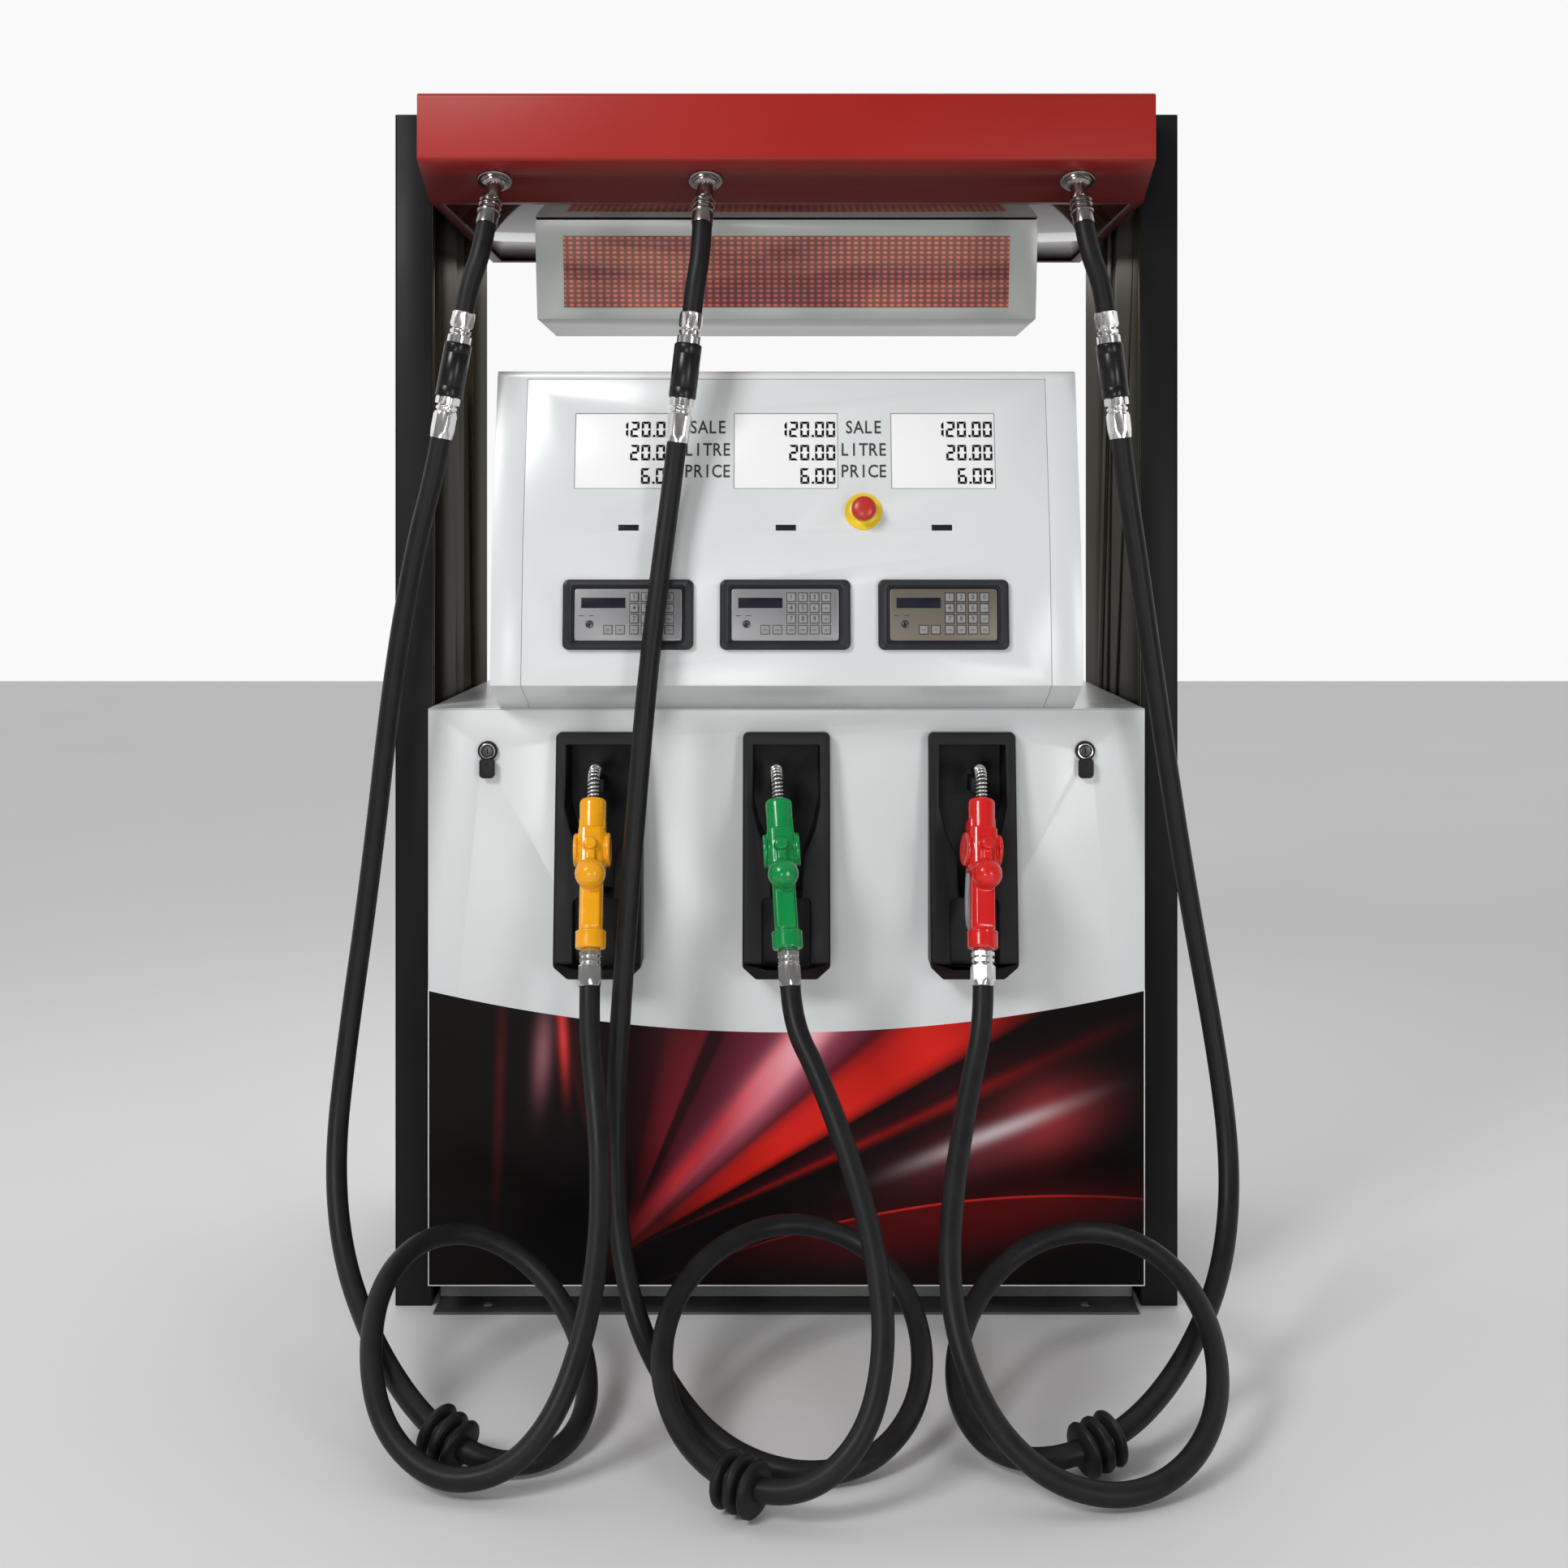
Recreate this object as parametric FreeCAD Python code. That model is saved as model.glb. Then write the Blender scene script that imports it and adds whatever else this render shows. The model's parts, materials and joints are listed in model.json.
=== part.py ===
import FreeCAD, Part
import math
import os

# Three-hose fuel dispenser. Origin: floor, centre of the anchor bolt pattern. -Y is the front, +Z is up.
# All sizes are in millimetres.

# Whole machine
HEIGHT = 1995.0
COLUMN_INNER_X = 592.6
COLUMN_OUTER_X = 655.0
COLUMN_HALF_DEPTH = 289.5
SHEET = 2.0
THIN = 1.5
PLAY = 0.4

# Base frame
BASE_HEIGHT = 57.0
BASE_HALF_WIDTH = 585.0
BASE_WEB_Y = 259.0
BASE_LIP_Y = 326.0
BASE_PLATE = 4.0
ANCHOR_X = 500.0
ANCHOR_Y = 292.0
ANCHOR_RADIUS = 9.0
INLET_RADIUS = 24.4
PUMP_RAILS_Y = (-95.0, 35.0, 135.0)

# Lower cabinet
CABINET_HALF_WIDTH = 588.3
CABINET_FRONT_Y = -351.5
CABINET_BACK_Y = 287.5
CABINET_TOP_Z = 1005.8

# Head that carries the displays: points of its side outline, (y, z)
HEAD_HALF_WIDTH = 471.0
HEAD_CHEEK_X = 422.0
HEAD_OUTLINE = [(-351.5, 1006.3), (-455, 1051), (-431, 1280), (-370, 1558), (285, 1558), (285, 1006.3)]
HEAD_BACK_Y = 285.0

# Sign box under the canopy, (y, z)
SIGN_HALF_WIDTH = 437.0
SIGN_OUTLINE = [(-139.5, 1670.5), (139.5, 1670.5), (171.5, 1839.2), (-171.5, 1839.2)]

# Canopy, (y, z) of the front half
CANOPY_HALF_WIDTH = 588.7
CANOPY_HALF_OUTLINE = [(-444.5, 1995), (-444.5, 1887.7), (-336, 1839.6)]
SOFFIT_HALF_DEPTH = 336.0

# Nozzles and hoses
SIDES = ("left", "middle", "right")
BOOT_X = {"left": -305.0, "middle": 0.0, "right": 303.0}
NOZZLE_FOOT = {"left": (-302, -551, 596), "middle": (6, -552, 596), "right": (302, -551, 596)}
NOZZLE_NECK = {"left": (-308, -441, 869), "middle": (-13, -441, 869), "right": (311, -441, 869)}
SPOUT_RISE = 48.0
NOZZLE_TWIST = {"left": 0, "middle": 0, "right": 11}
OUTLET_X = {"left": -472.0, "middle": -131.0, "right": 471.0}
OUTLET_Y = -393.5
BEND_RADIUS = 7.0
HOSE_DIAMETER = 32.0
RING_RADIUS = 38.0
RING_LENGTH = 58.0

# Routes: the points where the straight runs of each hose would meet
WHIP_ROUTE = {
    "left": [(-481, -428, 1786), (-486, -443, 1741), (-504.9, -446, 1689), (-513, -446, 1645)],
    "middle": [(-135, -428, 1787), (-136, -443, 1742), (-144.8, -448.3, 1689), (-150, -449, 1644)],
    "right": [(477, -428, 1787), (482, -443, 1742), (502.6, -446, 1690), (508, -446, 1645)],
}
HOSE_ROUTE = {
    "left": [(-550, -446, 1444), (-562, -446, 1379), (-590, -446, 1275), (-628, -436, 1070),
             (-668, -420, 740), (-702, -438, 475), (-707, -498, 318), (-676, -585, 203),
             (-612, -692, 126), (-537, -796, 78), (-466, -860, 45), (-395, -882, 22),
             (-330, -855, 17), (-291, -785, 25), (-287, -690, 50), (-320, -590, 98),
             (-392, -520, 158), (-482, -505, 204), (-562, -570, 216), (-600, -680, 184),
             (-590, -790, 120), (-547, -877, 60), (-465, -930, 22), (-376, -938, 37),
             (-314, -915, 95), (-280, -855, 178), (-266, -765, 270), (-274, -665, 375),
             (-292, -600, 474), (-301, -574, 540), (-302, -551, 596)],
    "middle": [(-174, -452, 1437), (-181.3, -453, 1374.4), (-195, -467, 1265), (-219, -494, 1060),
               (-244, -512, 740), (-264, -524, 450), (-262, -575, 275), (-231, -655, 145),
               (-167, -758, 68), (-85, -858, 30), (18, -905, 17), (115, -880, 22),
               (182, -800, 55), (203, -690, 102), (178, -582, 155), (105, -516, 200),
               (0, -508, 223), (-100, -562, 206), (-166, -668, 170), (-183, -782, 118),
               (-146, -888, 62), (-65, -975, 37), (30, -1012, 48), (105, -990, 110),
               (133, -925, 195), (127, -838, 282), (96, -730, 378), (47, -628, 485),
               (9.7, -573.4, 543.3), (6, -552, 596)],
    "right": [(532, -446, 1444), (540, -446, 1379), (556, -446, 1275), (588, -436, 1060),
              (640, -420, 735), (690, -430, 460), (698, -490, 290), (664, -580, 172),
              (592, -694, 100), (508, -806, 62), (427, -873, 43), (340, -886, 26),
              (272, -836, 26), (240, -750, 58), (255, -650, 104), (315, -560, 160),
              (398, -520, 202), (497, -535, 218), (582, -606, 195), (619, -714, 141),
              (605, -822, 80), (548, -908, 36), (460, -962, 17), (362, -968, 34),
              (284, -940, 88), (240, -890, 165), (225, -822, 250), (240, -728, 345),
              (274, -625, 462), (300, -574, 540), (302, -551, 596)],
}
RING_PLACE = {  # point on the hose that the protector sits on, and the way the hose runs there
    "left": ((-465.6, -856.1, 45.8), (146, -85, -57)),
    "middle": ((-61.9, -970.8, 40.7), (176, -119, -11)),
    "right": ((424.8, -868.1, 43.3), (-168, -75, -36)),
}

# Panels of the head, as distances along their face from its lower edge
LCD_X = (-258.0, -1.0, 253.0)
LCD_SIZE = (168.0, 126.0)
LCD_UP = 150.0
TOTALIZER_X = (-253.0, -1.0, 249.0)
TOTALIZER_SIZE = (31.0, 8.0)
TOTALIZER_UP = 22.5
STOP_X = 123.5
STOP_UP = 49.0
KEYPAD_X = {"left": -252.0, "middle": -2.0, "right": 250.0}
KEYPAD_UP = 112.6
BEZEL_SIZE = (208.0, 112.0)
PLATE_SIZE = (170.0, 82.0)
KEY = 13.6
KEY_PITCH = (18.5, 17.2)
KEY_FIRST = (9.7, 27.8)
EXTRA_KEYS = (-31.7, -12.3)
KEY_TRAVEL = 0.8
KEY_SWITCH_PLACE = (-61.5, -15.0)
LOCK_X = 490.0
LOCK_Z = 936.5
COVER_PIVOT_Z = LOCK_Z - 20
COVER_Z = LOCK_Z - 40

# Hydraulics: one pump, motor, meter and riser for each hose
PUMP_X = {"left": -330.0, "middle": 0.0, "right": 330.0}
PIPE_RADIUS = 13.5
PIPE_GATES = [(-60.0, 870.0), (20.0, 870.0), (100.0, 870.0), (-60.0, 1925.0), (20.0, 1925.0)]
RISERS = {
    "left": [(-300, 60, 640), (-300, 60, 760), (-420, -60, 870), (-624, -60, 870), (-624, -60, 1925),
             (-472, -60, 1925), (-472, -330, 1925), (-472, -377.3, 1901.7), (-472, -389.4, 1874.2)],
    "middle": [(30, 60, 640), (30, 60, 800), (-100, 20, 870), (-624, 20, 870), (-624, 20, 1925),
               (-131, 20, 1925), (-131, -330, 1925), (-131, -377.3, 1901.7), (-131, -389.4, 1874.2)],
    "right": [(360, 60, 640), (360, 60, 760), (440, 20, 870), (624, 20, 870), (624, 20, 1925),
              (471, 20, 1925), (471, -330, 1925), (471, -377.3, 1901.7), (471, -389.4, 1874.2)],
}


def vec(point):
    return FreeCAD.Vector(*point)


def box(low, high):
    size = [b - a for a, b in zip(low, high)]
    return Part.makeBox(size[0], size[1], size[2], vec(low))


def cylinder(start, direction, radius, length):
    return Part.makeCylinder(radius, length, vec(start), vec(direction))


def fuse(shapes):
    joined = shapes[0].multiFuse(shapes[1:])
    return joined.removeSplitter()


def polygon(points):
    closed = [vec(p) for p in points] + [vec(points[0])]
    return Part.Face(Part.makePolygon(closed))


def prism_x(outline, low_x, high_x):
    """Solid of a (y, z) outline between two x planes."""
    face = polygon([(low_x, y, z) for y, z in outline])
    return face.extrude(FreeCAD.Vector(high_x - low_x, 0, 0))


def prism_y(outline, low_y, high_y):
    """Solid of an (x, z) outline between two y planes."""
    face = polygon([(x, low_y, z) for x, z in outline])
    return face.extrude(FreeCAD.Vector(0, high_y - low_y, 0))


def inset(outline, distance):
    """The (y, z) outline moved inwards by a distance; its points run either way round."""
    wire = Part.makePolygon([FreeCAD.Vector(y, z, 0) for y, z in outline + outline[:1]])
    moved = wire.makeOffset2D(-distance, 2)
    if Part.Face(moved).Area > Part.Face(wire).Area:
        moved = wire.makeOffset2D(distance, 2)
    return [(v.X, v.Y) for v in moved.OrderedVertexes]


def turned(profile, start, direction):
    """Solid of revolution of (along, radius) points about an axis that starts at a point."""
    points = [(0, 0, profile[0][0])]
    points += [(radius, 0, along) for along, radius in profile]
    points += [(0, 0, profile[-1][0])]
    solid = polygon(points).revolve(FreeCAD.Vector(), FreeCAD.Vector(0, 0, 1), 360)
    solid.Placement = FreeCAD.Placement(vec(start), FreeCAD.Rotation(FreeCAD.Vector(0, 0, 1), vec(direction)))
    return solid


def facing(origin, across, up):
    """Placement whose x runs across, y up and z out of a face."""
    x_axis = vec(across).normalize()
    z_axis = x_axis.cross(vec(up)).normalize()
    y_axis = z_axis.cross(x_axis)
    return FreeCAD.Placement(vec(origin), FreeCAD.Rotation(x_axis, y_axis, z_axis, "XZY"))


def placed(shape, placement):
    moved = shape.copy()
    moved.Placement = placement.multiply(moved.Placement)
    return moved


def plate(centre, size, back, front):
    """Flat plate on a face: centre and size along the face, and how far out it reaches."""
    low = (centre[0] - size[0] / 2, centre[1] - size[1] / 2, back)
    return box(low, (low[0] + size[0], low[1] + size[1], front))


def round_edges(shape, radius, direction):
    """Rounds the straight edges that run along a direction."""
    along = vec(direction)
    edges = [e for e in shape.Edges if abs(abs(e.tangentAt(e.FirstParameter).dot(along)) - 1) < 1e-6]
    return shape.makeFillet(radius, edges)


def hose_path(route, share=0.45, longest_cut=math.inf):
    """Straight runs joined by tangent arcs, and the radii of the arcs."""
    points = [vec(p) for p in route]
    edges = []
    radii = []
    start = points[0]
    for before, corner, after in zip(points, points[1:], points[2:]):
        back = before - corner
        ahead = after - corner
        cut = min(share * min(back.Length, ahead.Length), longest_cut)
        turn = math.pi - back.getAngle(ahead)
        radius = cut / math.tan(turn / 2)
        back.normalize()
        ahead.normalize()
        middle = (back + ahead).normalize()
        bulge = radius / math.cos(turn / 2) - radius
        arc_start = corner + back * cut
        arc_end = corner + ahead * cut
        edges.append(Part.LineSegment(start, arc_start).toShape())
        edges.append(Part.Arc(arc_start, corner + middle * bulge, arc_end).toShape())
        radii.append(radius)
        start = arc_end
    edges.append(Part.LineSegment(start, points[-1]).toShape())
    return Part.Wire(edges), radii


def hose_tube(name, route, diameter):
    path, radii = hose_path(route)
    start = vec(route[0])
    section = Part.Wire(Part.makeCircle(diameter / 2, start, vec(route[1]) - start))
    tube = path.makePipeShell([section], True, False)
    share = tube.Volume / (math.pi * diameter ** 2 / 4 * path.Length)
    print(name, "length", round(path.Length), "volume share", round(share, 4), "radii", [round(r) for r in radii])
    return tube


def save(name, shapes):
    solids = []
    for shape in shapes:
        solids += shape.Solids
    valid = all(solid.isValid() for solid in solids)
    print(name, len(solids), "solids", "valid" if valid else "NOT VALID")
    Part.makeCompound(solids).exportStep(f"parts/{name}.step")


def base_frame():
    rails = []
    for side in (-1, 1):
        lip = sorted((side * BASE_LIP_Y, side * BASE_WEB_Y))
        web = sorted((side * BASE_WEB_Y, side * (BASE_WEB_Y - BASE_PLATE)))
        flange = sorted((side * BASE_WEB_Y, side * (BASE_WEB_Y - 45)))
        rails.append(box((-BASE_HALF_WIDTH, lip[0], 0), (BASE_HALF_WIDTH, lip[1], BASE_PLATE)))
        rails.append(box((-BASE_HALF_WIDTH, web[0], 0), (BASE_HALF_WIDTH, web[1], BASE_HEIGHT)))
        rails.append(box((-BASE_HALF_WIDTH, flange[0], BASE_HEIGHT - BASE_PLATE),
                         (BASE_HALF_WIDTH, flange[1], BASE_HEIGHT)))
        end = sorted((side * BASE_HALF_WIDTH, side * (BASE_HALF_WIDTH - BASE_PLATE)))
        foot = sorted((side * BASE_HALF_WIDTH, side * (BASE_HALF_WIDTH - 40)))
        rails.append(box((end[0], -BASE_WEB_Y, 0), (end[1], BASE_WEB_Y, BASE_HEIGHT)))
        rails.append(box((foot[0], -BASE_WEB_Y, 0), (foot[1], BASE_WEB_Y, BASE_PLATE)))
    for y in PUMP_RAILS_Y:
        rails.append(box((-BASE_HALF_WIDTH, y - 15, BASE_HEIGHT - BASE_PLATE),
                         (BASE_HALF_WIDTH, y + 15, BASE_HEIGHT)))
    frame = fuse(rails)
    for x in (-ANCHOR_X, ANCHOR_X):
        for y in (-ANCHOR_Y, ANCHOR_Y):
            frame = frame.cut(cylinder((x, y, -1), (0, 0, 1), ANCHOR_RADIUS, BASE_PLATE + 2))
    save("base_frame", [frame])


def columns():
    """Each column is a folded channel of sheets, open towards the machine behind its liner."""
    seam = 0.05
    for name, side in (("left_column", -1), ("right_column", 1)):
        inner = side * (COLUMN_INNER_X + THIN + 0.1)
        outer = side * COLUMN_OUTER_X
        fold = outer - side * SHEET
        room = COLUMN_HALF_DEPTH - SHEET
        outer_x = sorted((fold, outer))
        wall_x = sorted((inner, fold - side * seam))
        lip_x = sorted((inner, inner + side * SHEET))
        sheets = [box((outer_x[0], -COLUMN_HALF_DEPTH, 0), (outer_x[1], COLUMN_HALF_DEPTH, HEIGHT))]
        for z in (0, HEIGHT - SHEET):
            sheets.append(box((wall_x[0], -room + seam, z), (wall_x[1], room - seam, z + SHEET)))
        for edge in (-1, 1):
            wall_y = sorted((edge * room, edge * COLUMN_HALF_DEPTH))
            lip_y = sorted((edge * (COLUMN_HALF_DEPTH - 20), edge * (room - seam)))
            sheets.append(box((wall_x[0], wall_y[0], 0), (wall_x[1], wall_y[1], HEIGHT)))
            sheets.append(box((lip_x[0], lip_y[0], SHEET + seam), (lip_x[1], lip_y[1], HEIGHT - SHEET - seam)))
        save(name, sheets)


def column_liners():
    strips = []
    for side in (-1, 1):
        x = sorted((side * COLUMN_INNER_X, side * (COLUMN_INNER_X + THIN)))
        front_strip = box((x[0], -287.5, 60), (x[1], -271, 1990))
        main_sheet = box((x[0], -269, 60), (x[1], 287.5, 1990))
        for y, z in PIPE_GATES:
            main_sheet = main_sheet.cut(cylinder((x[0] - 1, y, z), (1, 0, 0), PIPE_RADIUS + 4, THIN + 2))
        strips += [front_strip, main_sheet]
    save("column_liners", strips)


def outlet_points():
    """The centre of each hose outlet on the canopy's sloping face."""
    (edge_y, edge_z), (low_y, low_z) = CANOPY_HALF_OUTLINE[1], CANOPY_HALF_OUTLINE[2]
    share = (OUTLET_Y - edge_y) / (low_y - edge_y)
    return {side: (OUTLET_X[side], OUTLET_Y, edge_z + share * (low_z - edge_z)) for side in SIDES}


def slope_normal():
    (edge_y, edge_z), (low_y, low_z) = CANOPY_HALF_OUTLINE[1], CANOPY_HALF_OUTLINE[2]
    return FreeCAD.Vector(0, low_z - edge_z, edge_y - low_y).normalize()


def canopy():
    outline = CANOPY_HALF_OUTLINE + [(-y, z) for y, z in reversed(CANOPY_HALF_OUTLINE)]
    skin = prism_x(outline, -CANOPY_HALF_WIDTH, CANOPY_HALF_WIDTH)
    room = prism_x(inset(outline, SHEET), -CANOPY_HALF_WIDTH + SHEET, CANOPY_HALF_WIDTH - SHEET)
    skin = round_edges(skin, BEND_RADIUS, (1, 0, 0))
    room = round_edges(room, BEND_RADIUS - SHEET, (1, 0, 0))
    shell = skin.cut(room)
    opening = SOFFIT_HALF_DEPTH - 20
    half_opening = CANOPY_HALF_WIDTH - 20
    shell = shell.cut(box((-half_opening, -opening, 1830), (half_opening, opening, 1850)))
    for point in outlet_points().values():
        start = vec(point) + slope_normal() * 10
        shell = shell.cut(Part.makeCylinder(17, 20, start, slope_normal() * -1))
    for side in (-1, 1):
        for y, z in PIPE_GATES[3:]:
            shell = shell.cut(cylinder((side * CANOPY_HALF_WIDTH - 5, y, z), (1, 0, 0), PIPE_RADIUS + 4, 10))
    save("canopy", [shell])
    soffit = box((-586, -331, 1841.9), (586, 331, 1843.9))
    save("canopy_soffit", [soffit])


def sign_face():
    (low_y, low_z), (high_y, high_z) = SIGN_OUTLINE[0], SIGN_OUTLINE[3]
    return facing((0, low_y, low_z), (1, 0, 0), (0, high_y - low_y, high_z - low_z))


def sign_box():
    skin = prism_x(SIGN_OUTLINE, -SIGN_HALF_WIDTH, SIGN_HALF_WIDTH)
    room = prism_x(inset(SIGN_OUTLINE, THIN), -SIGN_HALF_WIDTH + THIN, SIGN_HALF_WIDTH - THIN)
    shell = skin.cut(room)
    top_z = SIGN_OUTLINE[2][1]
    shell = shell.cut(box((-SIGN_HALF_WIDTH + 12, -150, top_z - 5), (SIGN_HALF_WIDTH - 12, 150, top_z + 5)))
    window = plate((0, 82), (778, 124), -5, 5)
    shell = shell.cut(placed(window, sign_face()))
    save("sign_box", [shell])
    matrix = plate((0, 82), (792, 136), -9, -THIN - 0.2)
    save("led_matrix", [placed(matrix, sign_face())])


def head_faces():
    lower, crease, top = HEAD_OUTLINE[1:4]
    upper_face = facing((0,) + crease, (1, 0, 0), (0, top[0] - crease[0], top[1] - crease[1]))
    lower_face = facing((0,) + lower, (1, 0, 0), (0, crease[0] - lower[0], crease[1] - lower[1]))
    return upper_face, lower_face


def keypad_places():
    _, lower_face = head_faces()
    return {side: lower_face.multiply(FreeCAD.Placement(FreeCAD.Vector(x, KEYPAD_UP, 0), FreeCAD.Rotation()))
            for side, x in KEYPAD_X.items()}


def head():
    upper_face, lower_face = head_faces()
    skin = prism_x(HEAD_OUTLINE, -HEAD_HALF_WIDTH, HEAD_HALF_WIDTH)
    rim = [e for e in skin.Edges if abs(e.BoundBox.ZMin - 1558) < 1 and e.BoundBox.ZLength < 1]
    skin = skin.makeFillet(9, [e for e in rim if abs(e.CenterOfMass.x) < 1 and e.CenterOfMass.y < 0])
    room = prism_x(inset(HEAD_OUTLINE, SHEET), -HEAD_HALF_WIDTH + SHEET, HEAD_HALF_WIDTH - SHEET)
    shell = skin.cut(room)
    shell = shell.cut(box((-440, -320, 1000), (440, 260, 1012)))
    front_zone = box((-HEAD_CHEEK_X, -480, 1000), (HEAD_CHEEK_X, -338, 1545))
    rear_zone = box((-400, 270, 1060), (400, 300, 1500))
    save("head_housing", [shell.cut(front_zone).cut(rear_zone)])

    gap = 0.6
    panel_zone = box((-HEAD_CHEEK_X + gap, -480, 1000), (HEAD_CHEEK_X - gap, -339, 1545 - gap))
    panel = shell.common(panel_zone)
    holes = [placed(plate((x, LCD_UP), LCD_SIZE, -5, 5), upper_face) for x in LCD_X]
    holes += [placed(plate((x, TOTALIZER_UP), TOTALIZER_SIZE, -5, 5), upper_face) for x in TOTALIZER_X]
    holes += [placed(Part.makeCylinder(11.2, 10, FreeCAD.Vector(STOP_X, STOP_UP, -5)), upper_face)]
    holes += [placed(plate((0, 0), (186, 94), -5, 5), place) for place in keypad_places().values()]
    save("head_front_panel", [panel.cut(Part.makeCompound(holes))])

    door = box((-404, HEAD_BACK_Y + 0.5, 1056), (404, HEAD_BACK_Y + 2.5, 1504))
    knuckles = []
    for z in (1110, 1420):
        knuckles.append(cylinder((-410, HEAD_BACK_Y + 6, z), (0, 0, 1), 5, 40))
        knuckles.append(box((-410, HEAD_BACK_Y + 1, z), (-402, HEAD_BACK_Y + 6, z + 40)))
    door = fuse([door] + knuckles)
    door = door.cut(cylinder((-410, HEAD_BACK_Y + 6, 1100), (0, 0, 1), 2.55, 380))
    handle = fuse([box((370, HEAD_BACK_Y + 2, 1262), (378, HEAD_BACK_Y + 22, 1270)),
                   box((370, HEAD_BACK_Y + 2, 1330), (378, HEAD_BACK_Y + 22, 1338)),
                   box((370, HEAD_BACK_Y + 16, 1262), (378, HEAD_BACK_Y + 22, 1338))])
    save("head_rear_door", [fuse([door, handle])])

    screens = [placed(plate((x, LCD_UP), (LCD_SIZE[0] - 1, LCD_SIZE[1] - 1), -22, -0.6), upper_face)
               for x in LCD_X]
    counters = [placed(plate((x, TOTALIZER_UP), (TOTALIZER_SIZE[0] - 0.6, TOTALIZER_SIZE[1] - 0.6), -28, -0.8),
                       upper_face) for x in TOTALIZER_X]
    save("displays", screens + counters)


def stop_button():
    upper_face, _ = head_faces()
    place = upper_face.multiply(FreeCAD.Placement(FreeCAD.Vector(STOP_X, STOP_UP, 0), FreeCAD.Rotation()))
    collar = fuse([Part.makeCylinder(30, 3, FreeCAD.Vector(0, 0, 0.3)),
                   Part.makeCylinder(17, 8, FreeCAD.Vector(0, 0, 0.3)),
                   Part.makeCylinder(11, 30, FreeCAD.Vector(0, 0, -26)),
                   box((-20, -20, -70), (20, 20, -26))])
    collar = collar.cut(Part.makeCylinder(8.05, 60, FreeCAD.Vector(0, 0, -40)))
    save("stop_collar", [placed(collar, place)])
    profile = [(-30, 8), (13, 8), (16, 18), (20, 20), (25, 20), (30, 16), (32, 9), (32.5, 3)]
    save("stop_button", [placed(turned(profile, (0, 0, 0), (0, 0, 1)), place)])


def key_centres():
    columns_x = [KEY_FIRST[0] + KEY_PITCH[0] * i for i in range(4)]
    rows_y = [KEY_FIRST[1] - KEY_PITCH[1] * i for i in range(4)]
    centres = [(x, y) for y in rows_y for x in columns_x]
    return centres + [(x, rows_y[-1]) for x in EXTRA_KEYS]


def keypads():
    bezels = []
    plates = []
    for side, place in keypad_places().items():
        rim = round_edges(plate((0, 0), BEZEL_SIZE, 0.3, 9), 9, (0, 0, 1))
        rim = rim.cut(round_edges(plate((0, 0), (174, 86), -1, 10), 4, (0, 0, 1)))
        sleeve = plate((0, 0), (185, 93), -18, 0.3).cut(plate((0, 0), (174, 86), -20, 10))
        bezels.append(placed(fuse([rim, sleeve]), place))
        face = round_edges(plate((0, 0), PLATE_SIZE, 1.5, 4), 3, (0, 0, 1))
        for x, y in key_centres():
            face = face.cut(plate((x, y), (KEY + 2 * PLAY, KEY + 2 * PLAY), 0, 6))
        x, y = KEY_SWITCH_PLACE
        face = face.cut(Part.makeCylinder(4.55, 10, FreeCAD.Vector(x, y, 0)))
        backing = plate((0, 0), (172, 84), -16, -12)
        walls = [plate((wall_x, 0), (1.6, 84), -12.5, 2) for wall_x in (-84, 84)]
        tray = fuse([face, backing] + walls)
        plates.append(placed(tray, place))
        keys = []
        for key_x, key_y in key_centres():
            cap = plate((key_x, key_y), (KEY, KEY), -4, 5.6)
            cap = cap.makeChamfer(0.7, [e for e in cap.Edges if e.BoundBox.ZMin > 5])
            keys.append(cap)
        web_low = (KEY_FIRST[0] - KEY / 2, KEY_FIRST[1] - 3 * KEY_PITCH[1] - KEY / 2, -6)
        web_high = (KEY_FIRST[0] + 3 * KEY_PITCH[0] + KEY / 2, KEY_FIRST[1] + KEY / 2, -4)
        keys.append(box(web_low, web_high))
        keys.append(box((EXTRA_KEYS[0] - KEY / 2, web_low[1], -6), (web_low[0] + 1, web_low[1] + KEY, -4)))
        save(f"keys_{side}", [placed(fuse(keys), place)])
        switch = fuse([Part.makeCylinder(4.5, 12, FreeCAD.Vector(x, y, -7)),
                       Part.makeCylinder(6.2, 1.6, FreeCAD.Vector(x, y, 4.3))])
        switch = switch.cut(plate((x, y), (1.4, 6), 4.4, 7))
        save(f"key_switch_{side}", [placed(switch, place)])
    save("keypad_bezels", bezels)
    save("keypad_plates", plates)


def boot_cutout(x):
    return box((x - 60, CABINET_FRONT_Y - 5, 690), (x + 60, CABINET_FRONT_Y + 5, 955))


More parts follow.
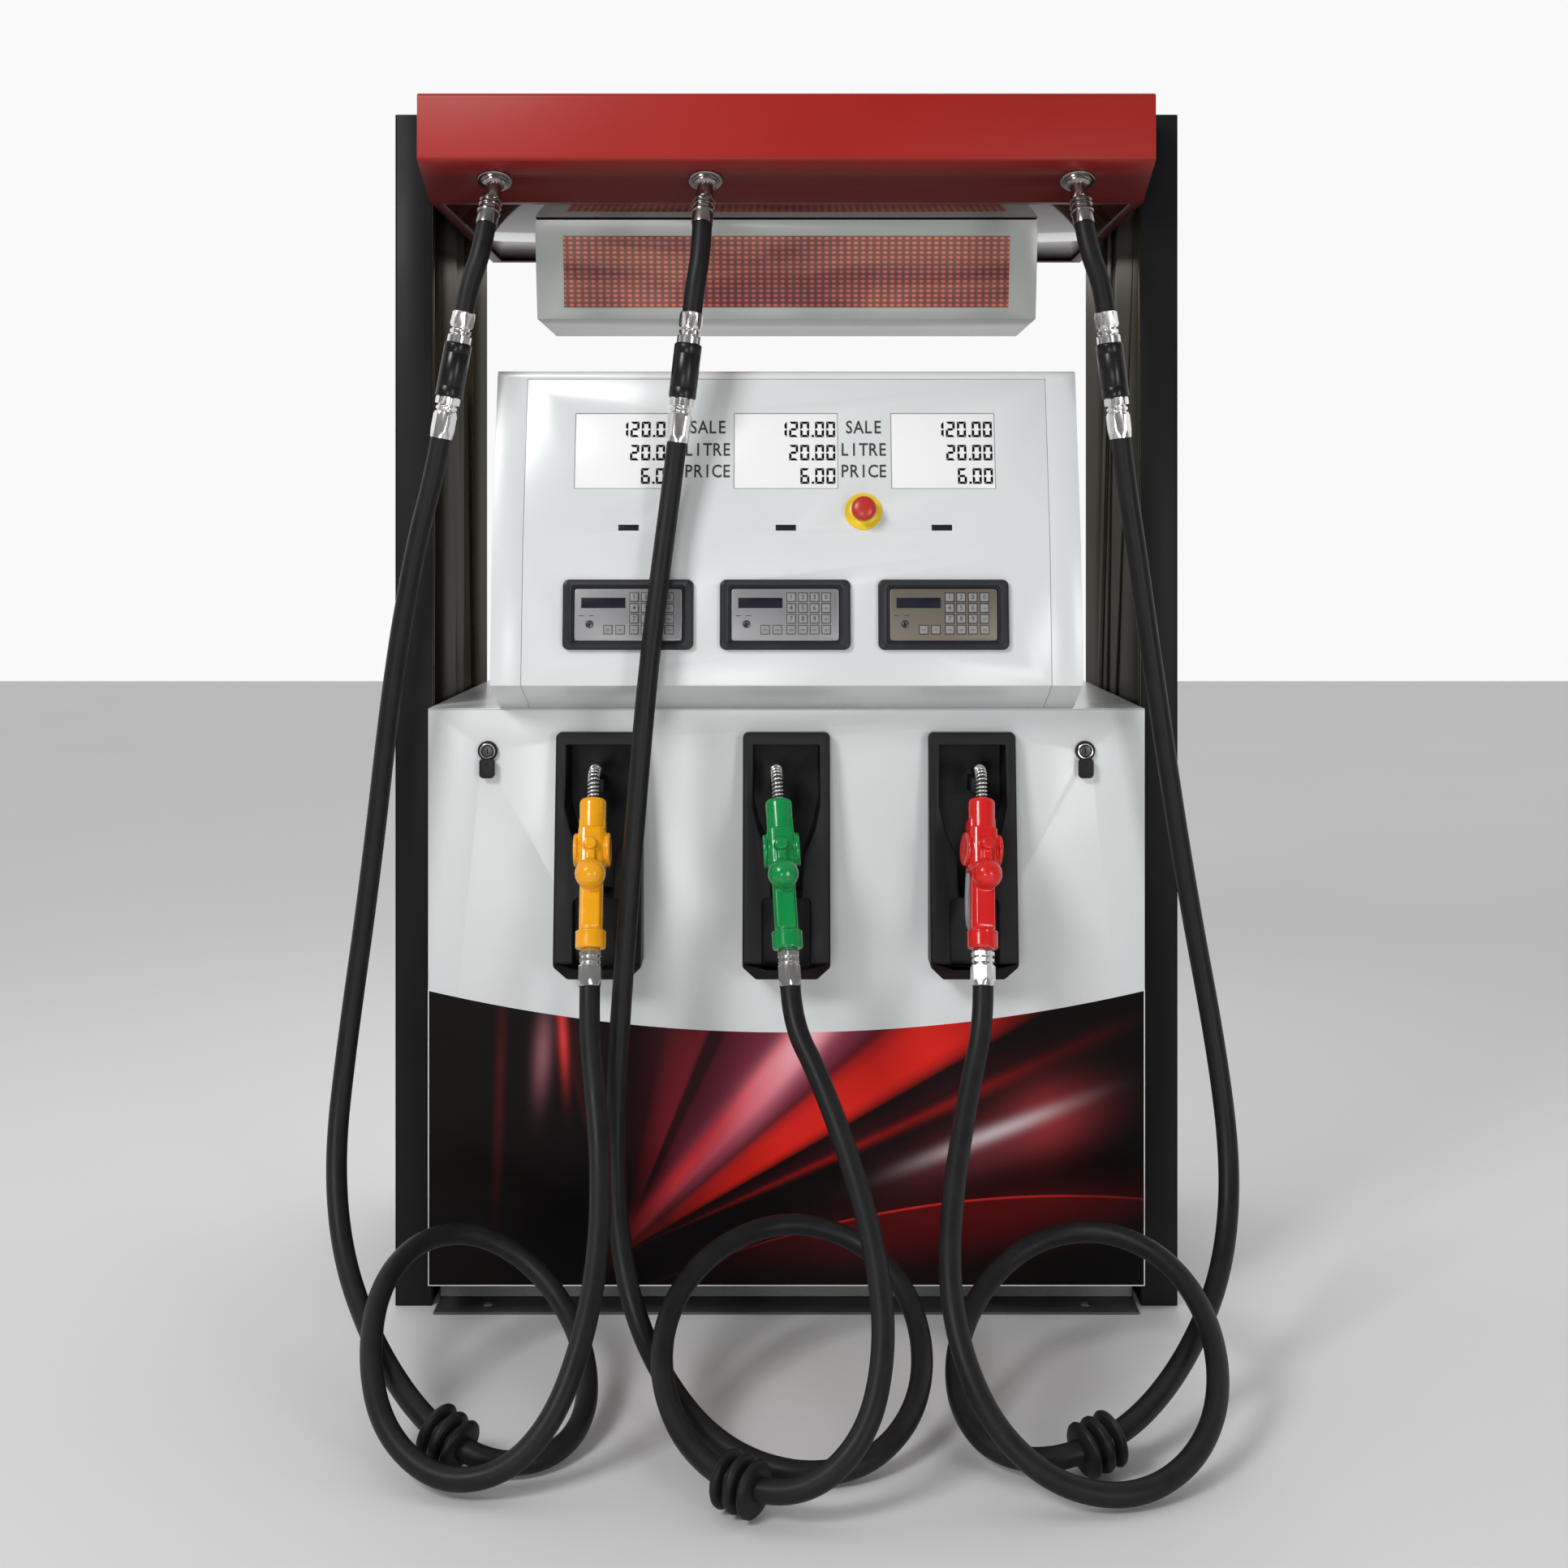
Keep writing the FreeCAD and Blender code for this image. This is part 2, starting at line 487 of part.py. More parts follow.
def cabinet():
    top = box((-CABINET_HALF_WIDTH, CABINET_FRONT_Y, CABINET_TOP_Z - SHEET),
              (CABINET_HALF_WIDTH, CABINET_BACK_Y, CABINET_TOP_Z))
    top = top.cut(box((-430, -310, 1000), (430, 250, 1010)))
    save("cabinet_top_plate", [top])

    bottom_z = BASE_HEIGHT + PLAY
    lip = 60
    top_z = CABINET_TOP_Z - SHEET - PLAY
    skin = box((-CABINET_HALF_WIDTH, CABINET_FRONT_Y, bottom_z),
               (CABINET_HALF_WIDTH, CABINET_FRONT_Y + lip, top_z))
    room = box((-CABINET_HALF_WIDTH + THIN, CABINET_FRONT_Y + THIN, bottom_z + THIN),
               (CABINET_HALF_WIDTH - THIN, CABINET_FRONT_Y + lip + 1, top_z - THIN))
    panel = skin.cut(room)
    for x in BOOT_X.values():
        panel = panel.cut(boot_cutout(x))
    for side in (-1, 1):
        panel = panel.cut(cylinder((side * LOCK_X, CABINET_FRONT_Y - 5, LOCK_Z), (0, 1, 0), 9.2, 20))
    save("front_panel", [panel])

    door_y = CABINET_BACK_Y
    door = box((-580, door_y - THIN, 62), (580, door_y, 998))
    for z in range(180, 320, 20):
        door = door.cut(box((-180, door_y - 5, z), (180, door_y + 5, z + 6)))
    hinge_y = door_y + 5
    knuckles = []
    for z in (160, 800):
        knuckles.append(cylinder((-584, hinge_y, z), (0, 0, 1), 5, 60))
        knuckles.append(box((-584, door_y - THIN, z), (-576, hinge_y, z + 60)))
    door = fuse([door] + knuckles)
    door = door.cut(cylinder((-584, hinge_y, 100), (0, 0, 1), 2.55, 800))
    save("rear_door", [door])

    pins = [cylinder((-584, hinge_y, z - 8), (0, 0, 1), 2.5, 76) for z in (160, 800)]
    pins += [box((-COLUMN_INNER_X, hinge_y - 4, z - 8), (-579, hinge_y + 3, z - 0.5)) for z in (160, 800)]
    head_pins = [cylinder((-410, HEAD_BACK_Y + 6, z - 8), (0, 0, 1), 2.5, 56) for z in (1110, 1420)]
    head_pins += [box((-415, HEAD_BACK_Y, z - 8), (-405, HEAD_BACK_Y + 9, z - 0.5)) for z in (1110, 1420)]
    lower = [fuse([pins[i], pins[i + 2]]) for i in range(2)]
    upper = [fuse([head_pins[i], head_pins[i + 2]]) for i in range(2)]
    save("door_hinge_pins", lower + upper)


def locks():
    barrels = []
    for name, side in (("left", -1), ("right", 1)):
        x = side * LOCK_X
        face_y = CABINET_FRONT_Y
        ring = turned([(0.3, 16), (6, 16), (8, 13.5)], (x, face_y, LOCK_Z), (0, -1, 0))
        core = cylinder((x, face_y - 4, LOCK_Z), (0, 1, 0), 9, 30)
        cam = box((x - 6, face_y + 24, LOCK_Z - 8), (x + 6, face_y + 27, LOCK_Z + 32))
        tab = box((x - 5, face_y - 8, COVER_PIVOT_Z - 5), (x + 5, face_y - 0.3, LOCK_Z - 12))
        peg = cylinder((x, face_y - 14, COVER_PIVOT_Z), (0, 1, 0), 2.0, 8)
        barrels.append(fuse([ring, core, cam, tab, peg]))
        flap = fuse([turned([(8.5, 6), (12.5, 6)], (x, face_y, COVER_PIVOT_Z), (0, -1, 0)),
                     box((x - 6, face_y - 12.5, COVER_Z), (x + 6, face_y - 8.5, COVER_PIVOT_Z)),
                     turned([(8.5, 13), (11, 13), (13, 10)], (x, face_y, COVER_Z), (0, -1, 0))])
        flap = flap.cut(cylinder((x, face_y - 20, COVER_PIVOT_Z), (0, 1, 0), 2.05, 20))
        save(f"lock_cover_{name}", [flap])
    latch = box((COLUMN_OUTER_X + 0.2, -180, 1409), (COLUMN_OUTER_X + 8, -140, 1496))
    barrels.append(round_edges(latch, 3, (1, 0, 0)))
    save("door_locks", barrels)


def front_face_edges(solid):
    """The edges around a boot's forward face."""
    largest = max((f for f in solid.Faces if f.normalAt(0, 0).y < -0.9), key=lambda f: f.Area)
    return largest.OuterWire.Edges


def boots():
    for side, x in BOOT_X.items():
        wedge = prism_x([(-352, 968), (-372, 968), (-418, 604), (-402, 572), (-352, 570)], x - 71, x + 71)
        corner = 24
        sides = prism_y([(x - 71, 970), (x + 71, 970), (x + 71, 570 + corner), (x + 71 - corner, 569),
                         (x - 71 + corner, 569), (x - 71, 570 + corner)], -430, -340)
        front = round_edges(wedge.common(sides), 9, (0, 1, 0))
        front = front.makeFillet(3.7, front_face_edges(front))
        tub = box((x - 59, -352.5, 691), (x + 59, -296, 954))
        boot = fuse([front, tub])
        pocket = prism_y([(x - 54, 948), (x + 54, 948), (x + 54, 850), (x + 46, 815), (x + 27, 770), (x + 24, 702),
                          (x - 24, 702), (x - 27, 770), (x - 46, 815), (x - 54, 850)], -440, -299)
        boot = boot.cut(pocket)
        seat = box((x - 39, -440, 592), (x + 39, -388, 703))
        seat = round_edges(seat, 8, (0, 1, 0))
        spout_x = {"left": -309, "middle": -16, "right": 312}[side]
        rest = box((spout_x - 9, -346, 866), (spout_x + 9, -298, 891))
        boot = fuse([boot.cut(seat), rest])
        save(f"nozzle_boot_{side}", [boot])


def nozzle_frame(side):
    """Placement whose y runs up the nozzle and z out of its front, and the nozzle's length."""
    foot = vec(NOZZLE_FOOT[side])
    up = vec(NOZZLE_NECK[side]) - foot
    out = FreeCAD.Vector(1, 0, 0).cross(up).normalize()
    out = FreeCAD.Rotation(up, NOZZLE_TWIST[side]).multVec(out)
    return facing(NOZZLE_FOOT[side], tuple(up.cross(out)), tuple(up)), up.Length


def rounded_bar(width, depth, low, high):
    """Rounded bar along local y."""
    bar = plate((0, 0), (width, depth), low, high)
    bar = round_edges(bar, min(width, depth) * 0.42, (0, 0, 1))
    bar.rotate(FreeCAD.Vector(), FreeCAD.Vector(1, 0, 0), -90)
    return bar


def nozzles():
    up = (0, 1, 0)
    for side in SIDES:
        frame, length = nozzle_frame(side)
        handle = rounded_bar(37, 36, 80, 190)
        collar = turned([(57, 22.5), (59, 24), (82, 24), (86, 20), (92, 17)], (0, 0, 0), up)
        valve = rounded_bar(42, 52, 176, 246)
        bosses = []
        for side_x in (-1, 1):
            bosses.append(turned([(0, 21), (26, 21), (30, 17)], (side_x * -1, 214, -2), (side_x, 0, 0)))
        neck = turned([(236, 18), (244, 20), (250, 21), (284, 22), (291, 21), (length, 16)], (0, 0, 0), up)
        dome = turned([(-2, 20), (14, 22), (22, 23.5), (30, 22.5), (38, 18), (43, 11), (45, 3)],
                      (0, 178, 8), (0, -0.34, 0.94))
        stem = fuse([Part.makeCylinder(9, 44, FreeCAD.Vector(0, 214, 0)), plate((0, 199), (15, 34), 0, 38)])
        guard_run = [(0, 228, -20), (0, 222, -66), (0, 160, -84), (0, 104, -80), (0, 76, -20)]
        path, _ = hose_path(guard_run, 0.4)
        start_way = vec(guard_run[1]) - vec(guard_run[0])
        section = Part.Wire(Part.makeCircle(4.5, vec(guard_run[0]), start_way))
        guard = path.makePipeShell([section], True, False)
        pin = cylinder((-16, 206, -34), (1, 0, 0), 2.5, 32)
        cheeks = [box((x - 2.5, 196, -40), (x + 2.5, 216, -20)) for x in (-13.5, 13.5)]
        bore = Part.makeCylinder(15.2, 32, FreeCAD.Vector(0, 0, 0), FreeCAD.Vector(0, 1, 0))
        body = fuse([handle, collar, valve, neck, dome, stem, guard, pin] + bosses + cheeks).cut(bore)
        socket = cylinder((0, length - 24, 0), up, 11.1, 40)
        body = body.cut(socket)
        save(f"nozzle_body_{side}", [placed(body, frame)])

        lever_outline = [(198, -38.5), (212, -38.5), (212, -29), (199, -29.5), (176, -34.5), (150, -44), (108, -53),
                         (108, -58), (150, -49.5), (180, -40.5)]
        blade = polygon([(-8, along, out) for along, out in lever_outline]).extrude(FreeCAD.Vector(16, 0, 0))
        lever = blade.cut(cylinder((-20, 206, -34), (1, 0, 0), 2.55, 40))
        save(f"nozzle_lever_{side}", [placed(lever, frame)])

        neck_way = frame.Rotation.multVec(FreeCAD.Vector(0, 1, 0))
        top = frame.multVec(FreeCAD.Vector(0, length, 0))
        inside = top - neck_way * 23
        bend = top + neck_way * SPOUT_RISE
        tip_way = FreeCAD.Vector(0, 1, -0.12).normalize()
        route = [tuple(inside), tuple(bend), tuple(bend + tip_way * 90)]
        path, _ = hose_path(route, 0.36)
        section = Part.Wire(Part.makeCircle(11, vec(route[0]), neck_way))
        spout = path.makePipeShell([section], True, False)
        save(f"nozzle_spout_{side}", [spout])

        swivel = turned([(0.0, 17.0), (6, 18.5), (30, 18.5), (33, 15), (37, 15), (37, 17), (42, 17), (42, 14.5),
                         (46, 14.5), (46, 17), (51, 17), (53, 15), (56.6, 15)], (0, 0, 0), up)
        spigot = cylinder((0, 56, 0), up, 14.9, 0.8)
        save(f"hose_swivel_{side}", [placed(fuse([swivel, spigot]), frame)])


def outlets():
    fittings = []
    for side, point in outlet_points().items():
        normal = slope_normal()
        flange = turned([(0.3, 28), (4, 28), (5, 19.5), (10, 19.5), (12, 15)], point, tuple(normal))
        end = vec(WHIP_ROUTE[side][0])
        way = vec(WHIP_ROUTE[side][1]) - end
        way.normalize()
        start = vec(point) + normal * 4
        reach = (end - start).Length
        swivel_way = (end - start).normalize()
        swivel = turned([(-8, 13), (24, 13), (28, 16), (36, 16), (38, 19), (56, 19), (60, 16.5), (reach - 4, 16.5)],
                        tuple(start), tuple(swivel_way))
        tail = turned([(-10, 15.5), (0, 17.5)], tuple(end), tuple(way))
        fittings.append(fuse([flange, swivel, tail]))
    save("outlet_fittings", fittings)


def hoses():
    rings = []
    for side in SIDES:
        save(f"whip_hose_{side}", [hose_tube(f"whip_hose_{side}", WHIP_ROUTE[side], HOSE_DIAMETER)])
        top = vec(WHIP_ROUTE[side][-1])
        bottom = vec(HOSE_ROUTE[side][0])
        way = bottom - top
        span = way.Length
        breakaway = turned([(0, 18.5), (26, 18.5), (30, 15), (36, 15), (37, 20), (52, 20), (53, 22), (136, 22),
                            (137, 20), (150, 20), (152, 15), (158, 15), (160, 19), (span - 8, 19), (span, 17)],
                           tuple(top), tuple(way))
        save(f"breakaway_{side}", [breakaway])
        save(f"hose_{side}", [hose_tube(f"hose_{side}", HOSE_ROUTE[side], HOSE_DIAMETER)])
        centre, ring_way = RING_PLACE[side]
        fins = [(-0.5, 21), (-0.46, 34), (-0.36, RING_RADIUS), (-0.3, 36), (-0.22, 24), (-0.16, 24), (-0.06, 37),
                (0.06, 37), (0.16, 24), (0.22, 24), (0.3, 36), (0.36, RING_RADIUS), (0.46, 34), (0.5, 21)]
        ring = turned([(RING_LENGTH * along, radius) for along, radius in fins], centre, ring_way)
        start = vec(centre) - vec(ring_way).normalize() * RING_LENGTH
        bore = Part.makeCylinder(HOSE_DIAMETER / 2, 2 * RING_LENGTH, start, vec(ring_way))
        rings.append(ring.cut(bore))
    save("hose_rings", rings)


def hydraulics():
    pumps = []
    motors = []
    meters = []
    pipes = []
    floor_z = BASE_HEIGHT + 0.2
    for side, x in PUMP_X.items():
        casing = box((x - 70, -120, floor_z + 10), (x + 90, 60, floor_z + 190))
        casing = round_edges(casing, 14, (0, 0, 1))
        cover = cylinder((x + 10, -118, floor_z + 100), (0, -1, 0), 58, 30)
        feet = [box((x + dx, -110, floor_z), (x + dx + 30, 50, floor_z + 14)) for dx in (-60, 50)]
        outlet = cylinder((x + 30, 0, floor_z + 185), (0, 0, 1), 22, 60)
        inlet = cylinder((x + 10, -30, floor_z - 50), (0, 0, 1), INLET_RADIUS + 6, 62)
        pump = fuse([casing, cover, outlet, inlet] + feet)
        pump = pump.cut(cylinder((x + 10, -30, floor_z - 51), (0, 0, 1), INLET_RADIUS, 60))
        pumps.append(pump)
        barrel = cylinder((x + 10, 61, floor_z + 100), (0, 1, 0), 66, 150)
        hood = cylinder((x + 10, 211, floor_z + 100), (0, 1, 0), 60, 36)
        junction = box((x - 24, 100, floor_z + 155), (x + 46, 170, floor_z + 196))
        stand = box((x - 45, 90, floor_z), (x + 65, 180, floor_z + 50))
        motors.append(fuse([barrel, hood, junction, stand]))
        meter_z = 470
        block = cylinder((x + 30, 0, meter_z), (0, 0, 1), 68, 120)
        head_cap = cylinder((x + 30, 0, meter_z + 119), (0, 0, 1), 50, 30)
        elbow = box((x + 12, 0, meter_z + 119), (x + 48, 78, meter_z + 150))
        stub = cylinder((x + 30, 60, meter_z + 149), (0, 0, 1), 18, 20)
        drop = cylinder((x + 30, 0, floor_z + 245.2), (0, 0, 1), 18, meter_z - floor_z - 245)
        meters.append(fuse([block, head_cap, elbow, stub, drop]))
        path, _ = hose_path(RISERS[side], 0.45, 22)
        start = vec(RISERS[side][0])
        section = Part.Wire(Part.makeCircle(PIPE_RADIUS, start, vec(RISERS[side][1]) - start))
        pipes.append(path.makePipeShell([section], True, False))
    save("pump_units", pumps)
    save("pump_motors", motors)
    save("flow_meters", meters)
    save("riser_pipes", pipes)
    board_box = box((-260, -120, 1120), (260, 60, 1400))
    rail = [box((x - 10, 60, 1100), (x + 10, 64, 1420)) for x in (-230, 230)]
    shelf = box((-270, -130, 1010), (270, 70, 1014))
    legs = [box((x - 8, y, 1013), (x + 8, y + 4, 1121)) for x in (-230, 230) for y in (-110, 50)]
    save("control_box", [fuse([board_box, shelf] + rail + legs)])


def main():
    os.makedirs("parts", exist_ok=True)
    base_frame()
    columns()
    column_liners()
    canopy()
    sign_box()
    head()
    stop_button()
    keypads()
    cabinet()
    locks()
    boots()
    nozzles()
    outlets()
    hoses()
    hydraulics()


main()
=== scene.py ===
import json
import math

import bmesh
import bpy
from mathutils import Matrix, Vector

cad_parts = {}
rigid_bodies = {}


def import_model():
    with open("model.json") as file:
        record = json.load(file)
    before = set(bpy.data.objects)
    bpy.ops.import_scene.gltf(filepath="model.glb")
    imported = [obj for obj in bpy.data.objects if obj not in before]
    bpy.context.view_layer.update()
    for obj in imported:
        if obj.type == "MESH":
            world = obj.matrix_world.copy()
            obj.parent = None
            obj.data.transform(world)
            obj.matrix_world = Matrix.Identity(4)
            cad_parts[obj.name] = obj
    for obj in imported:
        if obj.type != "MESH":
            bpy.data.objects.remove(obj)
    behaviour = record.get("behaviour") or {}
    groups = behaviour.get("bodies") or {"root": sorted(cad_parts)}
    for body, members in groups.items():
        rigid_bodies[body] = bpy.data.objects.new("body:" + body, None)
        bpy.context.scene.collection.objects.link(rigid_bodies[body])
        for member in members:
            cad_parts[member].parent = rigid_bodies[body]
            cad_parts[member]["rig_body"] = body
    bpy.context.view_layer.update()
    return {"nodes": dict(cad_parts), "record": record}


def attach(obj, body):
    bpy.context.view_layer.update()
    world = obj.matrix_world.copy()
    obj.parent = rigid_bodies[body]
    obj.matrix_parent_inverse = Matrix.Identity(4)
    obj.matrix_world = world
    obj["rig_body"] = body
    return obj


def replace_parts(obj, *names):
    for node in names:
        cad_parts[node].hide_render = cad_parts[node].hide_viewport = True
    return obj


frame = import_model()

# A fuel dispenser: the looks of every part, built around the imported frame. Places and sizes are in metres.
# The profiles of turned shapes, the rings of rounded plates and the widths of edges are in millimetres.
MM = 0.001
SIDES = ("left", "middle", "right")
FIXED = "machine"
SLOTS = {part["node"]: part["material_slot"] for part in frame["record"]["subparts"]}

# Camera: level, square to the front, with its lens shifted so that the whole object stays in view
CAMERA_PLACE = (0.0, -3.4515, 1.2776)
SENSOR = 36.0
LENS = 43.351
LENS_SHIFT = (-0.00155, -0.15373)

# Hoses: the CAD model's own routes, point by point, with each hose's real length
HOSE_DIAMETER = 0.032
WHIP_ROUTE = {
    "left": [(-0.481, -0.428, 1.786), (-0.486, -0.443, 1.741), (-0.5049, -0.446, 1.689),
             (-0.513, -0.446, 1.645)],
    "middle": [(-0.135, -0.428, 1.787), (-0.136, -0.443, 1.742), (-0.1448, -0.4483, 1.689),
             (-0.15, -0.449, 1.644)],
    "right": [(0.477, -0.428, 1.787), (0.482, -0.443, 1.742), (0.5026, -0.446, 1.69),
             (0.508, -0.446, 1.645)],
}
HOSE_ROUTE = {
    "left": [(-0.55, -0.446, 1.444), (-0.562, -0.446, 1.379), (-0.59, -0.446, 1.275),
             (-0.628, -0.436, 1.07), (-0.668, -0.42, 0.74), (-0.702, -0.438, 0.475),
             (-0.707, -0.498, 0.318), (-0.676, -0.585, 0.203), (-0.612, -0.692, 0.126),
             (-0.537, -0.796, 0.078), (-0.466, -0.86, 0.045), (-0.395, -0.882, 0.022),
             (-0.33, -0.855, 0.017), (-0.291, -0.785, 0.025), (-0.287, -0.69, 0.05), (-0.32, -0.59, 0.098),
             (-0.392, -0.52, 0.158), (-0.482, -0.505, 0.204), (-0.562, -0.57, 0.216), (-0.6, -0.68, 0.184),
             (-0.59, -0.79, 0.12), (-0.547, -0.877, 0.06), (-0.465, -0.93, 0.022), (-0.376, -0.938, 0.037),
             (-0.314, -0.915, 0.095), (-0.28, -0.855, 0.178), (-0.266, -0.765, 0.27),
             (-0.274, -0.665, 0.375), (-0.292, -0.6, 0.474), (-0.301, -0.574, 0.54),
             (-0.302, -0.551, 0.596)],
    "middle": [(-0.174, -0.452, 1.437), (-0.1813, -0.453, 1.3744), (-0.195, -0.467, 1.265),
             (-0.219, -0.494, 1.06), (-0.244, -0.512, 0.74), (-0.264, -0.524, 0.45),
             (-0.262, -0.575, 0.275), (-0.231, -0.655, 0.145), (-0.167, -0.758, 0.068),
             (-0.085, -0.858, 0.03), (0.018, -0.905, 0.017), (0.115, -0.88, 0.022), (0.182, -0.8, 0.055),
             (0.203, -0.69, 0.102), (0.178, -0.582, 0.155), (0.105, -0.516, 0.2), (0, -0.508, 0.223),
             (-0.1, -0.562, 0.206), (-0.166, -0.668, 0.17), (-0.183, -0.782, 0.118),
             (-0.146, -0.888, 0.062), (-0.065, -0.975, 0.037), (0.03, -1.012, 0.048), (0.105, -0.99, 0.11),
             (0.133, -0.925, 0.195), (0.127, -0.838, 0.282), (0.096, -0.73, 0.378), (0.047, -0.628, 0.485),
             (0.0097, -0.5734, 0.5433), (0.006, -0.552, 0.596)],
    "right": [(0.532, -0.446, 1.444), (0.54, -0.446, 1.379), (0.556, -0.446, 1.275), (0.588, -0.436, 1.06),
             (0.64, -0.42, 0.735), (0.69, -0.43, 0.46), (0.698, -0.49, 0.29), (0.664, -0.58, 0.172),
             (0.592, -0.694, 0.1), (0.508, -0.806, 0.062), (0.427, -0.873, 0.043), (0.34, -0.886, 0.026),
             (0.272, -0.836, 0.026), (0.24, -0.75, 0.058), (0.255, -0.65, 0.104), (0.315, -0.56, 0.16),
             (0.398, -0.52, 0.202), (0.497, -0.535, 0.218), (0.582, -0.606, 0.195), (0.619, -0.714, 0.141),
             (0.605, -0.822, 0.08), (0.548, -0.908, 0.036), (0.46, -0.962, 0.017), (0.362, -0.968, 0.034),
             (0.284, -0.94, 0.088), (0.24, -0.89, 0.165), (0.225, -0.822, 0.25), (0.24, -0.728, 0.345),
             (0.274, -0.625, 0.462), (0.3, -0.574, 0.54), (0.302, -0.551, 0.596)],
}
RING_PLACE = {
    "left": (-0.4656, -0.8561, 0.0458),
    "middle": (-0.0619, -0.9708, 0.0407),
    "right": (0.4248, -0.8681, 0.0433),
}

# Faces of the head and sign, (x, y, z) of a point on their lower edge and the way up the face
UPPER_FACE = ((0, -0.431, 1.280), (0, 0.061, 0.278))
LOWER_FACE = ((0, -0.455, 1.051), (0, 0.024, 0.229))
SIGN_FACE = ((0, -0.1395, 1.6705), (0, -0.032, 0.1687))
NOZZLE_FOOT = {"left": (-0.302, -0.551, 0.596), "middle": (0.006, -0.552, 0.596), "right": (0.302, -0.551,
                                                                                            0.596)}
NOZZLE_TWIST = {"left": 0, "middle": 0, "right": 11}
NOZZLE_NECK = {"left": (-0.308, -0.441, 0.869), "middle": (-0.013, -0.441, 0.869), "right": (0.311, -0.441,
                                                                                             0.869)}
# Heights over which the painted shade on the canopy's slope fades into the front's red
CANOPY_SHADE_HEIGHTS = (1.868, 1.897)
LCD_X = (-0.258, -0.001, 0.253)
KEYPAD_X = {"left": -0.252, "middle": -0.002, "right": 0.250}


# ---------------------------------------------------------------- materials

MATERIALS = {}


class Shader:
    """One node material with a Principled shader."""

    def __init__(self, name, colour, **settings):
        MATERIALS[name] = bpy.data.materials.new(name)
        MATERIALS[name].use_nodes = True
        self.tree = MATERIALS[name].node_tree
        self.shader = self.tree.nodes["Principled BSDF"]
        self.shader.inputs["Base Color"].default_value = (*colour, 1)
        for key, value in settings.items():
            self.shader.inputs[key.replace("_", " ")].default_value = value
        self.place = self.node("ShaderNodeTexCoord").outputs["Object"]

    def node(self, kind, values=None, **properties):
        made = self.tree.nodes.new(kind)
        for key, value in properties.items():
            setattr(made, key, value)
        for key, value in (values or {}).items():
            self.feed(made.inputs[key], value)
        return made

    def feed(self, socket, value):
        if isinstance(value, bpy.types.NodeSocket):
            self.tree.links.new(value, socket)
        else:
            socket.default_value = value

    def maths(self, operation, *values):
        made = self.node("ShaderNodeMath", operation=operation)
        for socket, value in zip(made.inputs, values):
            self.feed(socket, value)
        return made.outputs[0]

    def plus(self, first, second):
        return self.maths("ADD", first, second)

    def minus(self, first, second):
        return self.maths("SUBTRACT", first, second)

    def times(self, first, second):
        return self.maths("MULTIPLY", first, second)

    def squares(self, first, second):
        return self.plus(self.times(first, first), self.times(second, second))

    def axes(self):
        return self.node("ShaderNodeSeparateXYZ", {"Vector": self.place}).outputs

    def noise(self, scale, detail=2.0, stretch=(1, 1, 1), warp=0.0):
        mapped = self.node("ShaderNodeMapping", {"Vector": self.place, "Scale": stretch}).outputs[0]
        values = {"Vector": mapped, "Scale": scale, "Detail": detail, "Distortion": warp}
        return self.node("ShaderNodeTexNoise", values).outputs["Fac"]

    def between(self, value, low, high, to_low=0.0, to_high=1.0):
        values = {"Value": value, "From Min": low, "From Max": high, "To Min": to_low, "To Max": to_high}
        return self.node("ShaderNodeMapRange", values).outputs["Result"]

    def ramp(self, value, stops, mode="EASE"):
        made = self.node("ShaderNodeValToRGB", {"Fac": value})
        ramp = made.color_ramp
        ramp.interpolation = mode
        while len(ramp.elements) < len(stops):
            ramp.elements.new(0.5)
        for element, (place, colour) in zip(ramp.elements, stops):
            element.position = place
            element.color = (*colour, 1)
        return made.outputs["Color"]

    def mix(self, share, first, second, blend="MIX"):
        made = self.node("ShaderNodeMix", data_type="RGBA", blend_type=blend)
        self.feed(made.inputs["Factor"], share)
        for socket, value in ((made.inputs[6], first), (made.inputs[7], second)):
            self.feed(socket, value if isinstance(value, bpy.types.NodeSocket) else (*value, 1))
        return made.outputs[2]

    def use(self, key, value):
        self.feed(self.shader.inputs[key], value)

    def bump(self, height, distance, strength=1.0):
        values = {"Height": height, "Distance": distance, "Strength": strength}
        previous = self.shader.inputs["Normal"]
        if previous.is_linked:
            values["Normal"] = previous.links[0].from_socket
        self.use("Normal", self.node("ShaderNodeBump", values).outputs[0])


def shade(colour, factor):
    return tuple(min(1.0, c * factor) for c in colour)


def finish_of(name, colour, rough, spread, patch, grain, depth, stretch=(1, 1, 1), rough_spread=0.06,
              **settings):
    """A surface with broad and fine variation of colour, roughness and height. A grey is one number."""
    colour = colour if isinstance(colour, tuple) else (colour,) * 3
    made = Shader(name, colour, **settings)
    broad = made.noise(patch, 3.0)
    fine = made.noise(grain, 2.0, stretch)
    mixed = made.plus(made.times(broad, 0.7), made.times(fine, 0.3))
    tone = made.between(mixed, 0.35, 0.65)
    made.use("Base Color", made.mix(tone, shade(colour, 1 - spread), shade(colour, 1 + spread)))
    made.use("Roughness", made.between(mixed, 0.35, 0.65, rough - rough_spread, rough + rough_spread))
    made.bump(fine, depth)
    return made


